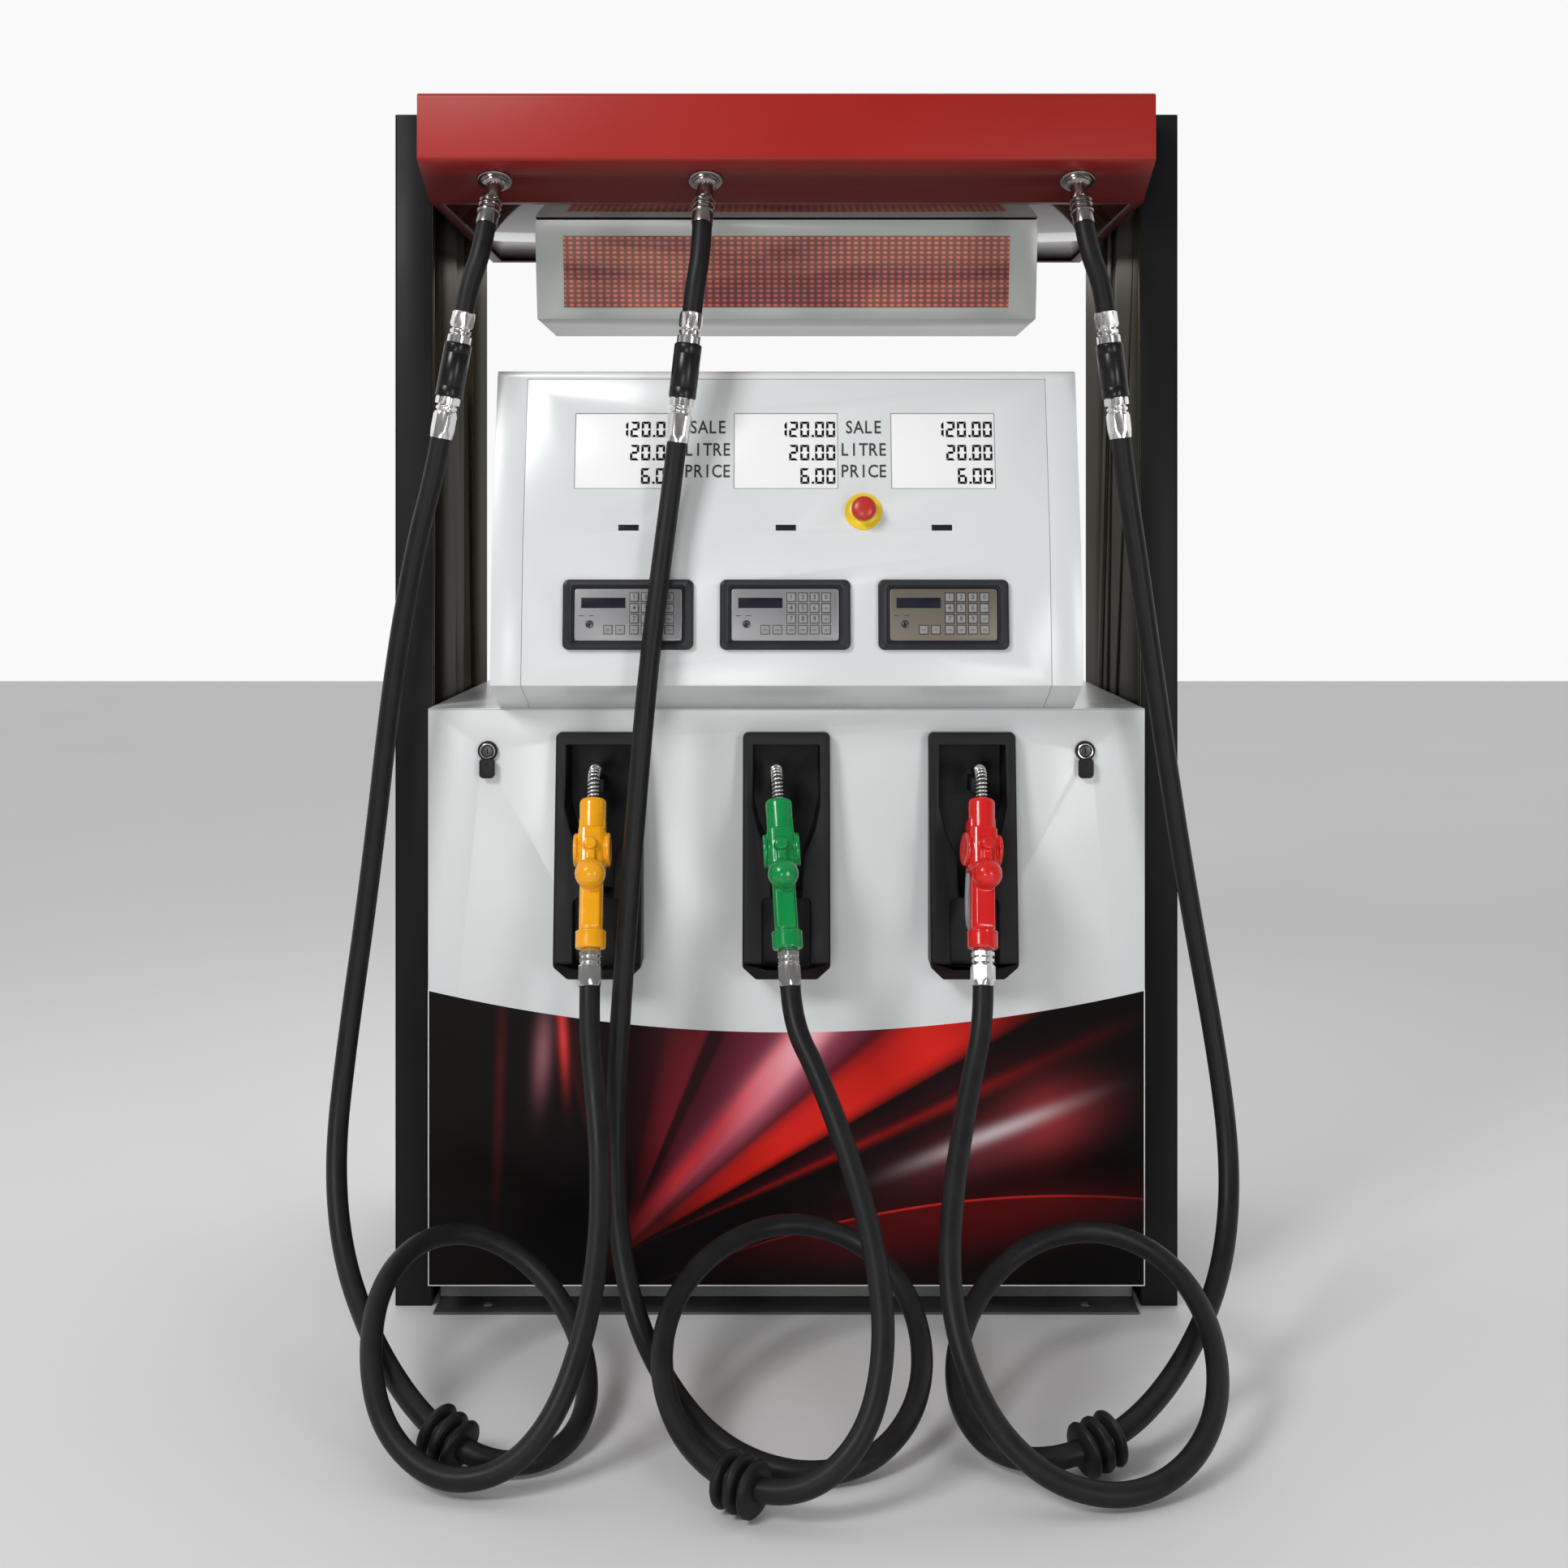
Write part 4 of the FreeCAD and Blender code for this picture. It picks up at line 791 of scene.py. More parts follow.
GUARD_LINE = [(0, 0.2280, -0.020), (0, 0.2255, -0.044), (0, 0.2200, -0.0600), (0, 0.2080, -0.0700),
              (0, 0.1880, -0.0765), (0, 0.1650, -0.0822), (0, 0.1400, -0.0828), (0, 0.1180, -0.0812),
              (0, 0.1030, -0.0720), (0, 0.0930, -0.0560), (0, 0.0850, -0.0400), (0, 0.0770, -0.0190)]


def eased(points, rounds=2):
    """Corner cutting, so a coarse run of points bends smoothly."""
    points = [Vector(p) for p in points]
    for _ in range(rounds):
        finer = [points[0]]
        for before, after in zip(points, points[1:]):
            finer += [before.lerp(after, 0.25), before.lerp(after, 0.75)]
        points = finer + [points[-1]]
    return points


def make_nozzles():
    casting = nozzle_shape()
    colours = {"left": "nozzle_yellow", "middle": "nozzle_green", "right": "nozzle_red"}
    for side in SIDES:
        place = nozzle_matrix(side)
        mesh = casting.copy()
        mesh.transform(place)
        made = placed(f"nozzle_casting_{side}", mesh)
        dress(made, colours[side], colours[side], sharp=50)
        pin = Parts().lathe([(-16.5, 2.2), (-16, 2.6), (16, 2.6), (16.5, 2.2)],
                            place @ axis_matrix((0, 0.206, -0.034), (1, 0, 0)), 24)
        pin.piece(f"lever_pin_{side}", "chrome", "chrome_parts")
        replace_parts(made, f"nozzle_body_{side}")
        guard = Parts().tube(eased(GUARD_LINE), 0.0046, place, 20)
        guard.piece(f"nozzle_guard_{side}", "lever_plastic", "lever_grey")
        swivel = Parts().lathe(swivel_profile(), place @ axis_matrix((0, 0, 0), (0, 1, 0)))
        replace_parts(swivel.piece(f"nozzle_swivel_{side}", "chrome", "chrome_parts", sharp=18),
                    f"hose_swivel_{side}")
        make_spout(side, place)
        refined(f"nozzle_lever_{side}", "lever_plastic", 1.2, 3)
        refined(f"nozzle_boot_{side}", "boot_plastic", 2.6, 3, 30)


make_nozzles()


# ---------------------------------------------------------------- lower cabinet

CABINET_FRONT = -0.3515
GRAPHIC_HALF = 0.5868
GRAPHIC_LOW = 0.0595
FILM_DEPTH = 0.0003
ARC_SIDE_Z = 0.542
ARC_MIDDLE_Z = 0.474


def arc_z(x):
    """Height of the graphic's curved upper edge."""
    return ARC_MIDDLE_Z + (ARC_SIDE_Z - ARC_MIDDLE_Z) * (x / GRAPHIC_HALF) ** 2


def soft_spot(made, x, z, centre, way, sizes):
    """Brightness that fades from a centre, longer along a way than across it."""
    turn = math.radians(way)
    dx = made.minus(x, centre[0])
    dz = made.minus(z, centre[1])
    along = made.plus(made.times(dx, math.cos(turn)), made.times(dz, math.sin(turn)))
    across = made.minus(made.times(dz, math.cos(turn)), made.times(dx, math.sin(turn)))
    u = made.maths("DIVIDE", along, sizes[0])
    v = made.maths("DIVIDE", across, sizes[1])
    return made.maths("EXPONENT", made.times(made.squares(u, v), -1.0))


def graphic_material():
    """Abstract red beams that fan out over black."""
    made = Shader("beam_graphic", (0.01, 0.004, 0.005), Roughness=0.3, Specular_IOR_Level=0.1)
    axes = made.axes()
    x, z = axes["X"], axes["Z"]
    dx = made.minus(x, -0.277)
    dz = made.minus(z, 0.108)
    turn = made.maths("DIVIDE", made.maths("ARCTAN2", dz, dx), math.pi)
    distance = made.maths("SQRT", made.squares(dx, dz))
    black = (0.005, 0.003, 0.003)
    wine = (0.030, 0.004, 0.006)
    mauve = (0.17, 0.024, 0.045)
    crimson = (0.20, 0.012, 0.020)
    rose = (0.60, 0.085, 0.115)
    scarlet = (0.74, 0.020, 0.012)
    beams = made.ramp(turn, [
        (0.000, black), (0.128, black), (0.137, (0.24, 0.008, 0.006)), (0.142, wine), (0.164, black),
        (0.170, (0.40, 0.012, 0.010)), (0.178, scarlet), (0.206, (0.66, 0.018, 0.012)),
        (0.220, (0.36, 0.012, 0.014)), (0.225, (0.10, 0.008, 0.014)), (0.234, mauve),
        (0.252, (0.30, 0.045, 0.080)), (0.259, rose), (0.286, rose), (0.291, (0.50, 0.020, 0.030)),
        (0.298, mauve), (0.336, (0.11, 0.012, 0.024)), (0.354, (0.09, 0.008, 0.014)), (0.358, wine),
        (0.376, wine), (0.380, crimson), (0.420, (0.09, 0.007, 0.010)), (0.436, wine),
        (0.480, (0.012, 0.003, 0.004)), (0.54, black), (0.575, wine), (0.585, black), (1.0, black)],
        "LINEAR")
    fade = made.ramp(distance, [(0.0, (0, 0, 0)), (0.08, (0.10, 0.10, 0.10)), (0.24, (0.8, 0.8, 0.8)),
                                (0.36, (1, 1, 1)), (0.60, (1, 1, 1)), (0.80, (0.22, 0.22, 0.22)),
                                (0.95, (0.03, 0.03, 0.03))])
    colour = made.mix(1.0, beams, fade, "MULTIPLY")
    spots = [
        ((0.030, 0.462), 50, (0.120, 0.022), (0.95, 0.66, 0.72), 0.95),
        ((-0.040, 0.380), 50, (0.15, 0.026), (0.80, 0.12, 0.18), 0.60),
        ((-0.150, 0.270), 50, (0.12, 0.014), (0.70, 0.030, 0.040), 0.70),
        ((0.430, 0.335), 21, (0.075, 0.052), (0.34, 0.03, 0.035), 0.75),
        ((0.335, 0.306), 21, (0.105, 0.0115), (0.80, 0.76, 0.78), 0.95),
        ((0.330, 0.290), 21, (0.140, 0.040), (0.30, 0.045, 0.055), 0.45),
        ((-0.367, 0.470), 93, (0.065, 0.0075), (0.80, 0.05, 0.05), 0.90),
        ((-0.400, 0.440), 86, (0.065, 0.014), (0.34, 0.13, 0.15), 0.75),
        ((-0.470, 0.400), 88, (0.16, 0.008), (0.07, 0.006, 0.008), 0.8),
        ((0.300, 0.160), 8, (0.22, 0.040), (0.10, 0.004, 0.005), 0.9),
    ]
    for centre, way, sizes, tone, strength in spots:
        share = made.times(soft_spot(made, x, z, centre, way, sizes), strength)
        colour = made.mix(share, colour, tone)
    bow = made.minus(x, 0.46)
    arc = made.plus(made.times(made.times(bow, bow), -0.31), 0.207)
    gap = made.minus(arc, z)
    above = made.between(gap, -0.0010, 0.0006)
    near = soft_spot(made, x, z, (0.27, 0.19), 0, (0.24, 0.3))
    line = made.times(made.times(above, made.between(gap, 0.0042, 0.0012)), near)
    glow = made.times(made.times(above, made.between(gap, 0.045, 0.0)), near)
    colour = made.mix(made.times(glow, 0.55), colour, (0.16, 0.006, 0.006))
    colour = made.mix(made.times(line, 0.9), colour, (0.72, 0.03, 0.025))
    made.use("Base Color", colour)
    made.bump(made.noise(1500, 1.0), 0.000004)


def make_graphic():
    """A printed film on the lower panel, with a curved upper edge."""
    columns, rows = 96, 6

    def point(i, j, front):
        x = GRAPHIC_HALF * (2 * i / columns - 1)
        z = GRAPHIC_LOW + (arc_z(x) - GRAPHIC_LOW) * j / rows
        return x, CABINET_FRONT - (FILM_DEPTH if front else 0), z

    film = Parts().add(*sheet_of(columns, rows, point))
    graphic_material()
    film.piece("lower_graphic_film", "beam_graphic", "lower_graphic")


def make_trim():
    """The pale edge that shows around the lower panel."""
    parts = Parts()
    y = CABINET_FRONT
    for side in (-1, 1):
        x = sorted((side * 0.5868, side * 0.5885))
        parts.block((x[0], y - 0.0006, 0.058), (x[1], y, 0.545), radius=0.0002, segments=1)
    parts.block((-0.5868, y - 0.0006, 0.0578), (0.5868, y, 0.0595), radius=0.0002, segments=1)
    parts.piece("lower_panel_trim", "trim_white", "silver_paint")


LOCK_X = 0.490
LOCK_Z = 0.9365


def make_lock(x, name):
    """A cam lock with its barrel and key slot, and the pivot that its cover hangs from."""
    place = axis_matrix((x, CABINET_FRONT, LOCK_Z), (0, -1, 0))
    bezel = Parts().lathe([(0.3, 12.8), (0.3, 16.2), (4.5, 16.2), (6.5, 15.5), (7.3, 14.2), (7.3, 13.2),
                           (5.8, 12.8)], place, 56)
    bezel.block((x - 0.005, CABINET_FRONT - 0.008, 0.9115), (x + 0.005, CABINET_FRONT - 0.0003, 0.9245),
                radius=0.0008)
    bezel.lathe([(6, 1.9), (13.8, 2), (14.2, 1.6)], axis_matrix((x, CABINET_FRONT, 0.9165), (0, -1, 0)), 24)
    bezel.piece(f"lock_bezel_{name}", "boot_plastic", "chrome_parts", sharp=50)
    barrel = Parts().lathe([(-26, 9), (4, 9.2), (6, 8.6), (6.4, 7)], place, 40)
    barrel.piece(f"lock_barrel_{name}", "lock_steel", "chrome_parts")
    rim = [(5, 12.7), (7.7, 12.6), (8.1, 11.9), (7.9, 10.9), (6.6, 10), (4.8, 9.6)]
    ring = Parts().lathe(rim, place, 56)
    ring.block((x - 0.006, CABINET_FRONT + 0.024, 0.9285), (x + 0.006, CABINET_FRONT + 0.027, 0.9685),
               radius=0.0006)
    made = ring.piece(f"lock_ring_{name}", "chrome", "chrome_parts")
    slot = Parts().block((-0.0008, -0.0045, 0.0058), (0.0008, 0.0045, 0.0066), place, 0.0002, 1)
    slot.piece(f"lock_keyway_{name}", "lcd_black", "chrome_parts")
    return made


def make_lock_cover(x, node):
    """A rounded tab that turns aside from its lock."""
    cover = Parts()
    rings = [(11.8, 15.5, 6, 9), (12.5, 16.2, 6.6, 9.8), (12.5, 16.2, 6.6, 12.2), (11.6, 15.3, 5.8, 13.4),
             (10, 13.7, 4.5, 13.7)]
    rounded_rings(cover, rings, axis_matrix((x, CABINET_FRONT, 0.9088), (0, -1, 0)))
    made = cover.piece(f"{node}_shell", "boot_plastic", SLOTS[node], node, sharp=40)
    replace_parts(made, node)


def make_latch():
    """The latch plate on the outside of the right column, and its two screws."""
    latch = Parts().block((0.6552, -0.180, 1.409), (0.6626, -0.140, 1.496), radius=0.003, segments=3, axis=0)
    latch.block((0.6610, -0.1720, 1.4200), (0.6630, -0.1480, 1.4850), radius=0.0009)
    latch.piece("column_latch", "frame_steel", "chrome_parts")
    screws = Parts()
    for z in (1.4145, 1.4905):
        screws.lathe([(0, 3.4), (1, 3.4), (1.6, 2.6)], axis_matrix((0.6618, -0.160, z), (1, 0, 0)), 24)
    screws.piece("column_latch_screws", "steel", "chrome_parts")


def make_locks():
    rings = []
    for x, name in ((-LOCK_X, "left"), (LOCK_X, "right")):
        rings.append(make_lock(x, name))
        make_lock_cover(x, f"lock_cover_{name}")
    make_latch()
    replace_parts(rings[0], "door_locks")


def make_cabinet():
    for node, width in (("front_panel", 0.5), ("cabinet_top_plate", 0.5), ("rear_door", 0.4)):
        refined(node, "silver_paint", width)
    refined("base_frame", "frame_steel", 0.8)
    refined("left_column", "black_paint", 0.7)
    refined("right_column", "black_paint", 0.7)
    refined("column_liners", "liner_metal", 0.3)
    repaint("door_hinge_pins", "steel")
    make_graphic()
    make_trim()
    make_locks()


make_cabinet()


# ---------------------------------------------------------------- canopy, sign and outlets

DOT_PITCH = (0.01275, 0.00813)
DOT_FIRST = (-400 * DOT_PITCH[0], 1.6905)


def led_material():
    """Rows of salmon dots behind a creased red film, with painted shade that darkens film and dots in bands
    along its folds.
    """
    made = Shader("led_dots", (0.2, 0.05, 0.04), Roughness=0.5, Coat_Weight=0.12, Coat_Roughness=0.3)
    axes = made.axes()

    def cell(value, first, pitch, half):
        """How far a point lies from the middle of its cell, in halves of a dot."""
        count = made.maths("DIVIDE", made.minus(value, first), pitch)
        return made.maths("DIVIDE", made.minus(made.maths("FRACT", count), 0.5), half)

    across = cell(axes["X"], DOT_FIRST[0], DOT_PITCH[0], 0.31)
    upward = cell(axes["Z"], DOT_FIRST[1], DOT_PITCH[1], 0.30)
    distance = made.maths("SQRT", made.squares(across, upward))
    dot = made.between(distance, 1.25, 0.75)
    folds = made.noise(5.0, 3.0, (0.35, 1, 2.2), 1.2)
    # Painted shade: the same noise as the folds' bumps darkens the film and its dots in bands along the
    # creases
    fold_shade = made.between(folds, 0.40, 0.60)
    ground = made.mix(fold_shade, (0.12, 0.020, 0.018), (0.33, 0.115, 0.075))
    bright = made.mix(fold_shade, (0.58, 0.105, 0.080), (0.95, 0.28, 0.19))
    made.use("Base Color", made.mix(dot, ground, bright))
    made.bump(folds, 0.0005, 0.5)
    made.bump(dot, 0.0003, 0.4)


def make_led():
    """The matrix behind the sign's window, as a gently creased sheet."""
    columns, rows = 150, 26
    half, low, high = 0.3950, 0.0145, 0.1495
    front_depth, back_depth = -0.0022, -0.0085

    def point(i, j, front):
        x = half * (2 * i / columns - 1)
        y = low + (high - low) * j / rows
        crease = 0.0005 * math.sin(31 * x + 9 * math.sin(19 * x) + 60 * y)
        crease -= 0.0009 * math.exp(-((y - 0.058 - 0.007 * math.sin(17 * x + 1)) / 0.0022) ** 2)
        return x, y, front_depth + crease if front else back_depth

    sheet = Parts().add(*sheet_of(columns, rows, point), face_matrix(*SIGN_FACE))
    led_material()
    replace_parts(sheet.piece("led_sheet", "led_dots", "led_display", sharp=60), "led_matrix")


OUTLET_X = {"left": -0.472, "middle": -0.131, "right": 0.471}
OUTLET_Y = -0.3935


def outlet_place(side):
    """Where a hose leaves the canopy's slope, and the way out of the slope."""
    slope = Vector((0, 0.1085, -0.0481))
    start = Vector((OUTLET_X[side], -0.4445, 1.8877))
    point = start + slope * ((OUTLET_Y - start.y) / slope.y)
    return point, slope.cross(Vector((1, 0, 0))).normalized()


def make_outlets():
    first = None
    for side in SIDES:
        point, normal = outlet_place(side)
        flange = axis_matrix(point, normal)
        parts = Parts().lathe([(0.3, 26.2), (0.3, 28), (2.2, 28), (3.4, 26.8), (3.6, 23.2), (5.8, 22.6),
                               (6.4, 20.5), (9, 20), (10, 18), (12, 15)], flange, 64)
        end = Vector(WHIP_ROUTE[side][0])
        start = point + normal * 0.004
        reach = (end - start).length / MM
        swivel = [(-4, 13), (24, 13.2), (25, 15, 14.6), (33, 16.2, 14.6), (34.5, 15), (35.5, 15),
                  (36.2, 17.8), (38.5, 18.6), (40, 18), (40.5, 16.6), (44, 16.6), (44.6, 18), (47, 18.8),
                  (49, 18), (49.6, 16.4), (56, 16.6), (56.6, 18.6), (58.5, 19.2), (60.2, 18.6), (60.8, 17.2),
                  (reach - 2, 17.4), (reach + 0.5, 16.8)]
        parts.lathe(swivel, axis_matrix(start, end - start), 64)
        made = parts.piece(f"hose_outlet_{side}", "outlet_steel", "chrome_parts", sharp=18)
        first = first or made
    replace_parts(first, "outlet_fittings")


def make_top():
    refined("canopy", "canopy_paint_and_shade", 0.8, 2)
    refined("canopy_soffit", "soffit_gloss", 0.4)
    refined("sign_box", "sign_paint", 0.5)
    make_led()
    make_outlets()


make_top()


# ---------------------------------------------------------------- head with displays and keypads

SEGMENTS = {"0": "abcdef", "1": "bc", "2": "abged", "6": "afedcg"}


def segment_bar(parts, name, corner, size, thick, place, level):
    """One bar of a seven-segment digit, with mitred ends."""
    width, height = size
    x, y = corner
    t, half = thick, height / 2
    flat = [(0.12 * t, 0.0), (width - 0.12 * t, 0.0), (width - 1.05 * t, t), (1.05 * t, t)]
    upright = [(0.0, 0.12 * t), (t, 1.08 * t), (t, half - 0.6 * t), (0.0, half - 0.1 * t)]
    if name == "g":
        outline = [(0.55 * t, half), (t, half - t / 2), (width - t, half - t / 2), (width - 0.55 * t, half),
                   (width - t, half + t / 2), (t, half + t / 2)]
    elif name in "ad":
        outline = flat if name == "d" else [(u, height - v) for u, v in reversed(flat)]
    else:
        outline = upright
        if name in "fb":
            outline = [(u, height - v) for u, v in reversed(outline)]
        if name in "bc":
            outline = [(width - u, v) for u, v in reversed(outline)]
    parts.prism([(x + u, y + v) for u, v in outline], level, level + 0.0002, place)


def write_number(parts, text, right, low, size, place, level):
    """Seven-segment digits that end at the right."""
    width, height = size
    thick = height * 0.15
    x = right
    for letter in reversed(text):
        if letter == ".":
            x -= width * 0.14
            dot = [(x, low), (x + thick, low), (x + thick, low + thick), (x, low + thick)]
            parts.prism(dot, level, level + 0.0002, place)
            x -= width * 0.26
            continue
        x -= width
        for name in SEGMENTS[letter]:
            segment_bar(parts, name, (x, low), size, thick, place, level)
        x -= width * 0.24


def write_text(parts, text, centre, height, place, level, squeeze=1.0):
    """Plain letters, as thin solids on a face."""
    curve = bpy.data.curves.new("letters", "FONT")
    curve.body = text
    curve.size = height * 1.4
    curve.align_x = "CENTER"
    curve.align_y = "CENTER"
    curve.extrude = 0.00006
    curve.offset = height * 0.018
    curve.resolution_u = 3
    mesh = mesh_of("letters", curve)
    move = place @ Matrix.Translation((centre[0], centre[1], level)) @ Matrix.Diagonal((squeeze, 1, 1, 1))
    parts.add([v.co.copy() for v in mesh.vertices], [list(p.vertices) for p in mesh.polygons], move)


def frame_bars(parts, centre, size, thick, low, high, place):
    """A thin rectangular rim on a face."""
    x, y = centre
    w, h = size[0] / 2, size[1] / 2
    for box_low, box_high in (((-w - thick, h), (w + thick, h + thick)), ((-w - thick, -h - thick),
                                                                          (w + thick, -h)),
                              ((-w - thick, -h), (-w, h)), ((w, -h), (w + thick, h))):
        parts.block((x + box_low[0], y + box_low[1], low), (x + box_high[0], y + box_high[1], high), place,
                    radius=0.0002, segments=1)


def make_displays():
    place = face_matrix(*UPPER_FACE)
    glass, digits, rims, counters, wheels, labels = (Parts() for _ in range(6))
    for x in LCD_X:
        glass.block((x - 0.0835, 0.0875, -0.020), (x + 0.0835, 0.2125, -0.0006), place, radius=0.0005)
        frame_bars(rims, (x, 0.150), (0.1668, 0.1248), 0.0008, 0.0, 0.0005, place)
        for text, low in (("120.00", 0.1730), ("20.00", 0.1340), ("6.00", 0.0950)):
            write_number(digits, text, x + 0.0800, low, (0.0146, 0.0262), place, -0.0006)
    for x, centre in ((-0.253, 0.0225), (-0.001, 0.0225), (0.249, 0.0225)):
        counters.block((x - 0.0152, centre - 0.0037, -0.026), (x + 0.0152, centre + 0.0037, -0.0010), place,
                       radius=0.0004)
        frame_bars(counters, (x, centre), (0.0304, 0.0074), 0.0011, -0.0004, 0.0006, place)
        for i in range(6):
            left = x - 0.0135 + i * 0.0046
            wheels.block((left, centre - 0.0027, -0.0012), (left + 0.0038, centre + 0.0027, -0.0006), place,
                         radius=0.0003, segments=1)
    for x in (-0.1275, 0.1245):
        for text, y in (("SALE", 0.1885), ("LITRE", 0.1510), ("PRICE", 0.1150)):
            for index, letter in enumerate(text):
                shift = (index - (len(text) - 1) / 2) * 0.0153
                write_text(labels, letter, (x + shift, y), 0.0215, place, 0.0002, 0.82)
    made = glass.piece("lcd_glass_panels", "lcd_white", "lcd_glass")
    digits.piece("lcd_digits", "lcd_black", "lcd_glass")
    rims.piece("lcd_rims", "grey_box", "lcd_glass")
    counters.piece("totalizer_cases", "bezel_plastic", "lcd_glass")
    wheels.piece("totalizer_wheels", "boot_plastic", "lcd_glass")
    labels.piece("row_labels", "label_ink", "silver_paint")
    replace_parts(made, "displays")


def make_stop_button():
    place = face_matrix(*UPPER_FACE, across=0.1235) @ Matrix.Translation((0, 0.049, 0))
    collar = Parts().lathe([(0.3, 28.5), (0.3, 30), (2.2, 30), (3, 29.2), (3, 22.5), (3.4, 21.5), (4, 18.5),
                            (7.6, 17), (8.3, 16)], place, 80)
    collar.lathe([(-26, 11), (0.4, 11)], place, 40)
    collar.block((-0.020, -0.020, -0.070), (0.020, 0.020, -0.026), place, radius=0.002)
    made = collar.piece("stop_button_plate", "stop_yellow", "yellow_plastic")
    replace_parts(made, "stop_collar")
    cap = Parts().lathe([(-30, 7.2), (12.5, 7.4), (13.5, 8), (15, 16.5), (16.2, 18.6), (18, 19.7),
                         (20.5, 20), (23.5, 19.9), (26.2, 19), (28.5, 17.2), (30.2, 14), (31.4, 10), (32, 6),
                         (32.2, 2)], place, 80)
    made = cap.piece("stop_mushroom", "stop_red", "red_button", "stop_button")
    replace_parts(made, "stop_button")


KEY_FIRST = (0.0097, 0.0278)
KEY_PITCH = (0.0185, 0.0172)
KEY_HALF = 0.0068
EXTRA_KEYS = (-0.0317, -0.0123)
DIGITS = ["1", "2", "3", "0", "4", "5", "6", "", "7", "8", "9", ""] + [""] * 6
KEY_SWITCH = (-0.0615, -0.0150)


def key_centres():
    rows = [KEY_FIRST[1] - KEY_PITCH[1] * i for i in range(4)]
    centres = [(KEY_FIRST[0] + KEY_PITCH[0] * i, y) for y in rows for i in range(4)]
    return centres + [(x, rows[-1]) for x in EXTRA_KEYS]


def key_cap(parts, centre, place):
    """A key with a raised edge and a shallow dish."""
    x, y = centre
    rings = [(KEY_HALF - 0.0006, -0.004), (KEY_HALF - 0.0006, 0.0048), (KEY_HALF - 0.0008, 0.0053),
             (KEY_HALF - 0.0013, 0.0056), (KEY_HALF - 0.0018, 0.0056)]
    verts = []
    for half, level in rings:
        cut = half * 0.16
        verts += [(x + sx, y + sy, level) for sx, sy in (
            (half, -half + cut), (half, half - cut), (half - cut, half), (-half + cut, half),
            (-half, half - cut), (-half, -half + cut), (-half + cut, -half), (half - cut, -half))]
    parts.add(verts, ring_faces(len(rings), 8), place)


def make_bezel(parts, place):
    """A moulded frame around a keypad: rounded outside, sloping in to the window."""
    rings = [(104, 56, 10, 0.3), (104, 56, 10, 6), (103, 55, 9.2, 8), (101.2, 53.2, 8, 9),
             (92.5, 47.8, 6, 8.8), (90.5, 46.2, 5.5, 8), (88.5, 44.5, 5, 5), (87.1, 43.1, 4.5, 4.6),
             (87.1, 43.1, 4.5, -18), (92.2, 46.2, 4.5, -18), (92.2, 46.2, 4.5, 0.3)]
    rounded_rings(parts, rings, place, True)


def make_plate(place, finish, name):
    """The steel plate that closes a keypad's frame."""
    plate = Parts()
    rounded_rings(plate, [(85.5, 41.5, 5.2, 1.6), (85.5, 41.5, 5.2, 3.3), (85.2, 41.2, 5, 3.8),
                          (84.6, 40.6, 4.6, 4)], place)
    plate.block((-0.086, -0.042, -0.016), (0.086, 0.042, -0.012), place, radius=0.0005)
    for x in (-0.084, 0.084):
        plate.block((x - 0.0008, -0.041, -0.0125), (x + 0.0008, 0.041, 0.0020), place)
    return plate.piece(name, finish, "keypad_steel")


def make_screen(place, finish, side):
    screen = Parts().block((-0.0748, 0.0105, 0.0039), (-0.0042, 0.0271, 0.0044), place, radius=0.0003)
    screen.piece(f"keypad_screen_{side}", "small_screen", "lcd_glass")
    rim = Parts()
    frame_bars(rim, (-0.0395, 0.0188), (0.0700, 0.0160), 0.0006, 0.0038, 0.0047, place)
    rim.piece(f"keypad_rims_{side}", finish, "keypad_steel")


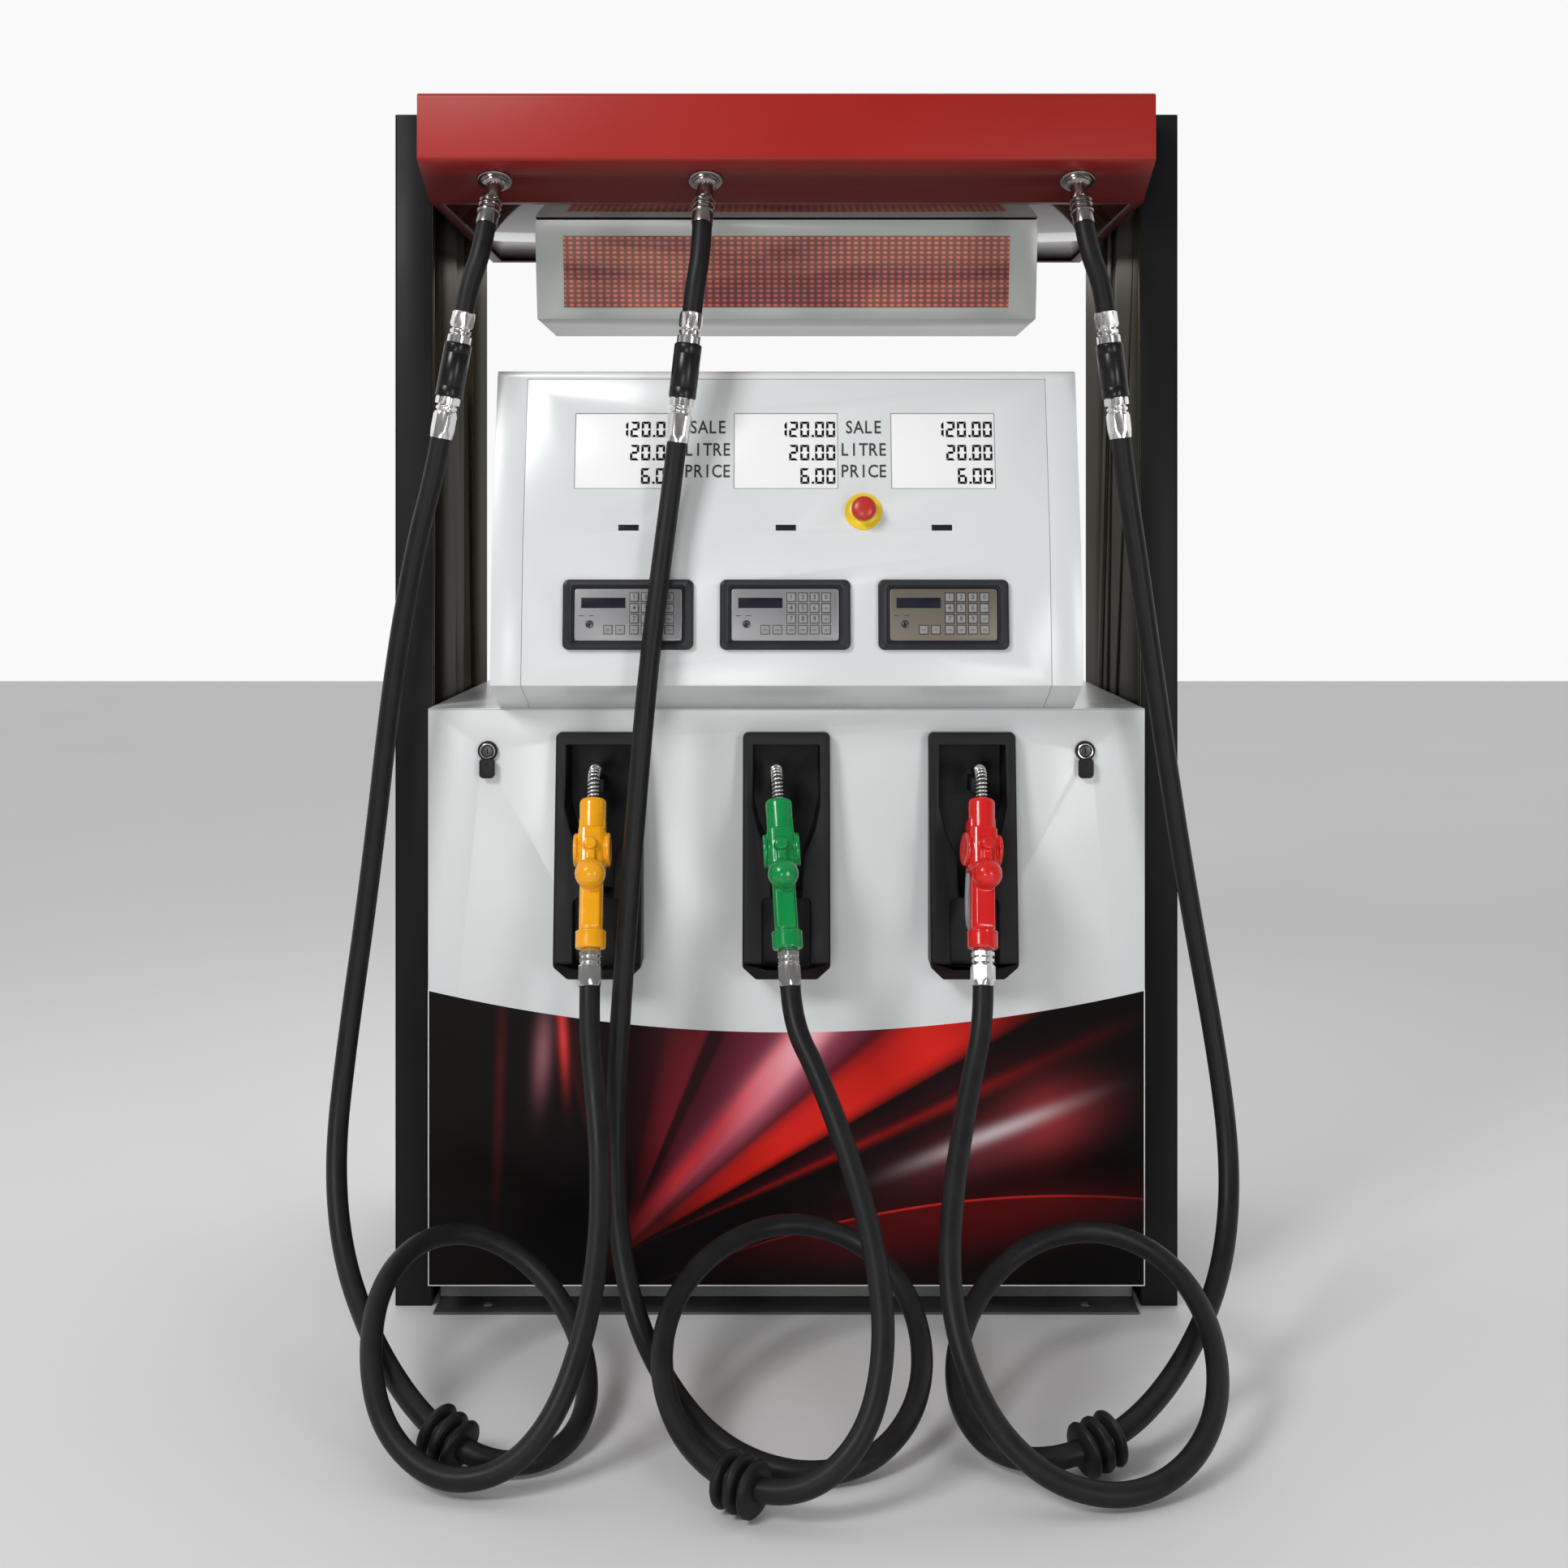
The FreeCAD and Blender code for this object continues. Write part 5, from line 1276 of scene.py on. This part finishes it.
def make_keys(place, side):
    """The keys with their marks, and the dark gaps around them."""
    gaps, keys, marks = Parts(), Parts(), Parts()
    hole = 2 * KEY_HALF - 0.0001
    for (x, y), text in zip(key_centres(), DIGITS):
        frame_bars(gaps, (x, y), (hole, hole), 0.0008, 0.0034, 0.0042, place)
        key_cap(keys, (x, y), place)
        if text:
            write_text(marks, text, (x, y), 0.0072, place, 0.00565)
        else:
            marks.block((x - 0.0035, y - 0.0002, 0.0054), (x + 0.0035, y + 0.0005, 0.0057), place)
            marks.block((x - 0.0022, y - 0.0021, 0.0054), (x + 0.0022, y - 0.0014, 0.0057), place)
    gaps.piece(f"keypad_gaps_{side}", "lcd_black", "keypad_steel")
    body = f"keys_{side}"
    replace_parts(keys.piece(f"keypad_keys_{side}", "key_steel", "key_metal", body), body)
    marks.piece(f"keypad_marks_{side}", "label_ink", "key_metal", body)


def make_legends(place, side):
    legends = Parts()
    for x in (-0.0745, -0.0585):
        legends.block((x - 0.004, -0.0022, 0.0040), (x + 0.004, -0.0010, 0.00415), place)
    legends.piece(f"keypad_legends_{side}", "label_ink", "keypad_steel")


def make_key_switch(place, side):
    lock = place @ Matrix.Translation((*KEY_SWITCH, 0))
    body = f"key_switch_{side}"
    barrel = Parts().lathe([(-7, 4.4), (4.3, 4.4), (4.3, 6), (5.2, 6.2), (5.8, 5.8), (6, 5), (5.5, 4.2),
                            (5.4, 2)], lock, 48)
    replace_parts(barrel.piece(f"key_lock_{side}", "lock_steel", "chrome_parts", body), body)
    keyway = Parts().block((-0.0007, -0.0028, 0.0053), (0.0007, 0.0028, 0.0058), lock, radius=0.0002,
                           segments=1)
    keyway.piece(f"key_slot_{side}", "lcd_black", "chrome_parts", body)


def make_keypads():
    bezels = Parts()
    plates = []
    for side in SIDES:
        place = face_matrix(*LOWER_FACE, across=KEYPAD_X[side]) @ Matrix.Translation((0, 0.1126, 0))
        finish = "plate_bronze" if side == "right" else "plate_steel"
        make_bezel(bezels, place)
        plates.append(make_plate(place, finish, f"keypad_face_{side}"))
        make_screen(place, finish, side)
        make_keys(place, side)
        make_legends(place, side)
        make_key_switch(place, side)
    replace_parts(bezels.piece("keypad_frames", "bezel_plastic", "dark_bezel", sharp=28), "keypad_bezels")
    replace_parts(plates[0], "keypad_plates")


def make_head():
    for node in ("head_housing", "head_front_panel", "head_rear_door"):
        refined(node, "silver_paint", 0.5)
    make_displays()
    make_stop_button()
    make_keypads()


make_head()


# ---------------------------------------------------------------- inside

def make_inside():
    for node, material, width in (("pump_units", "pump_iron", 2.0), ("pump_motors", "motor_paint", 1.5),
                                  ("flow_meters", "cast_aluminium", 1.5), ("control_box", "grey_box", 1.0)):
        refined(node, material, width)
    repaint("riser_pipes", "pipe_steel")


make_inside()
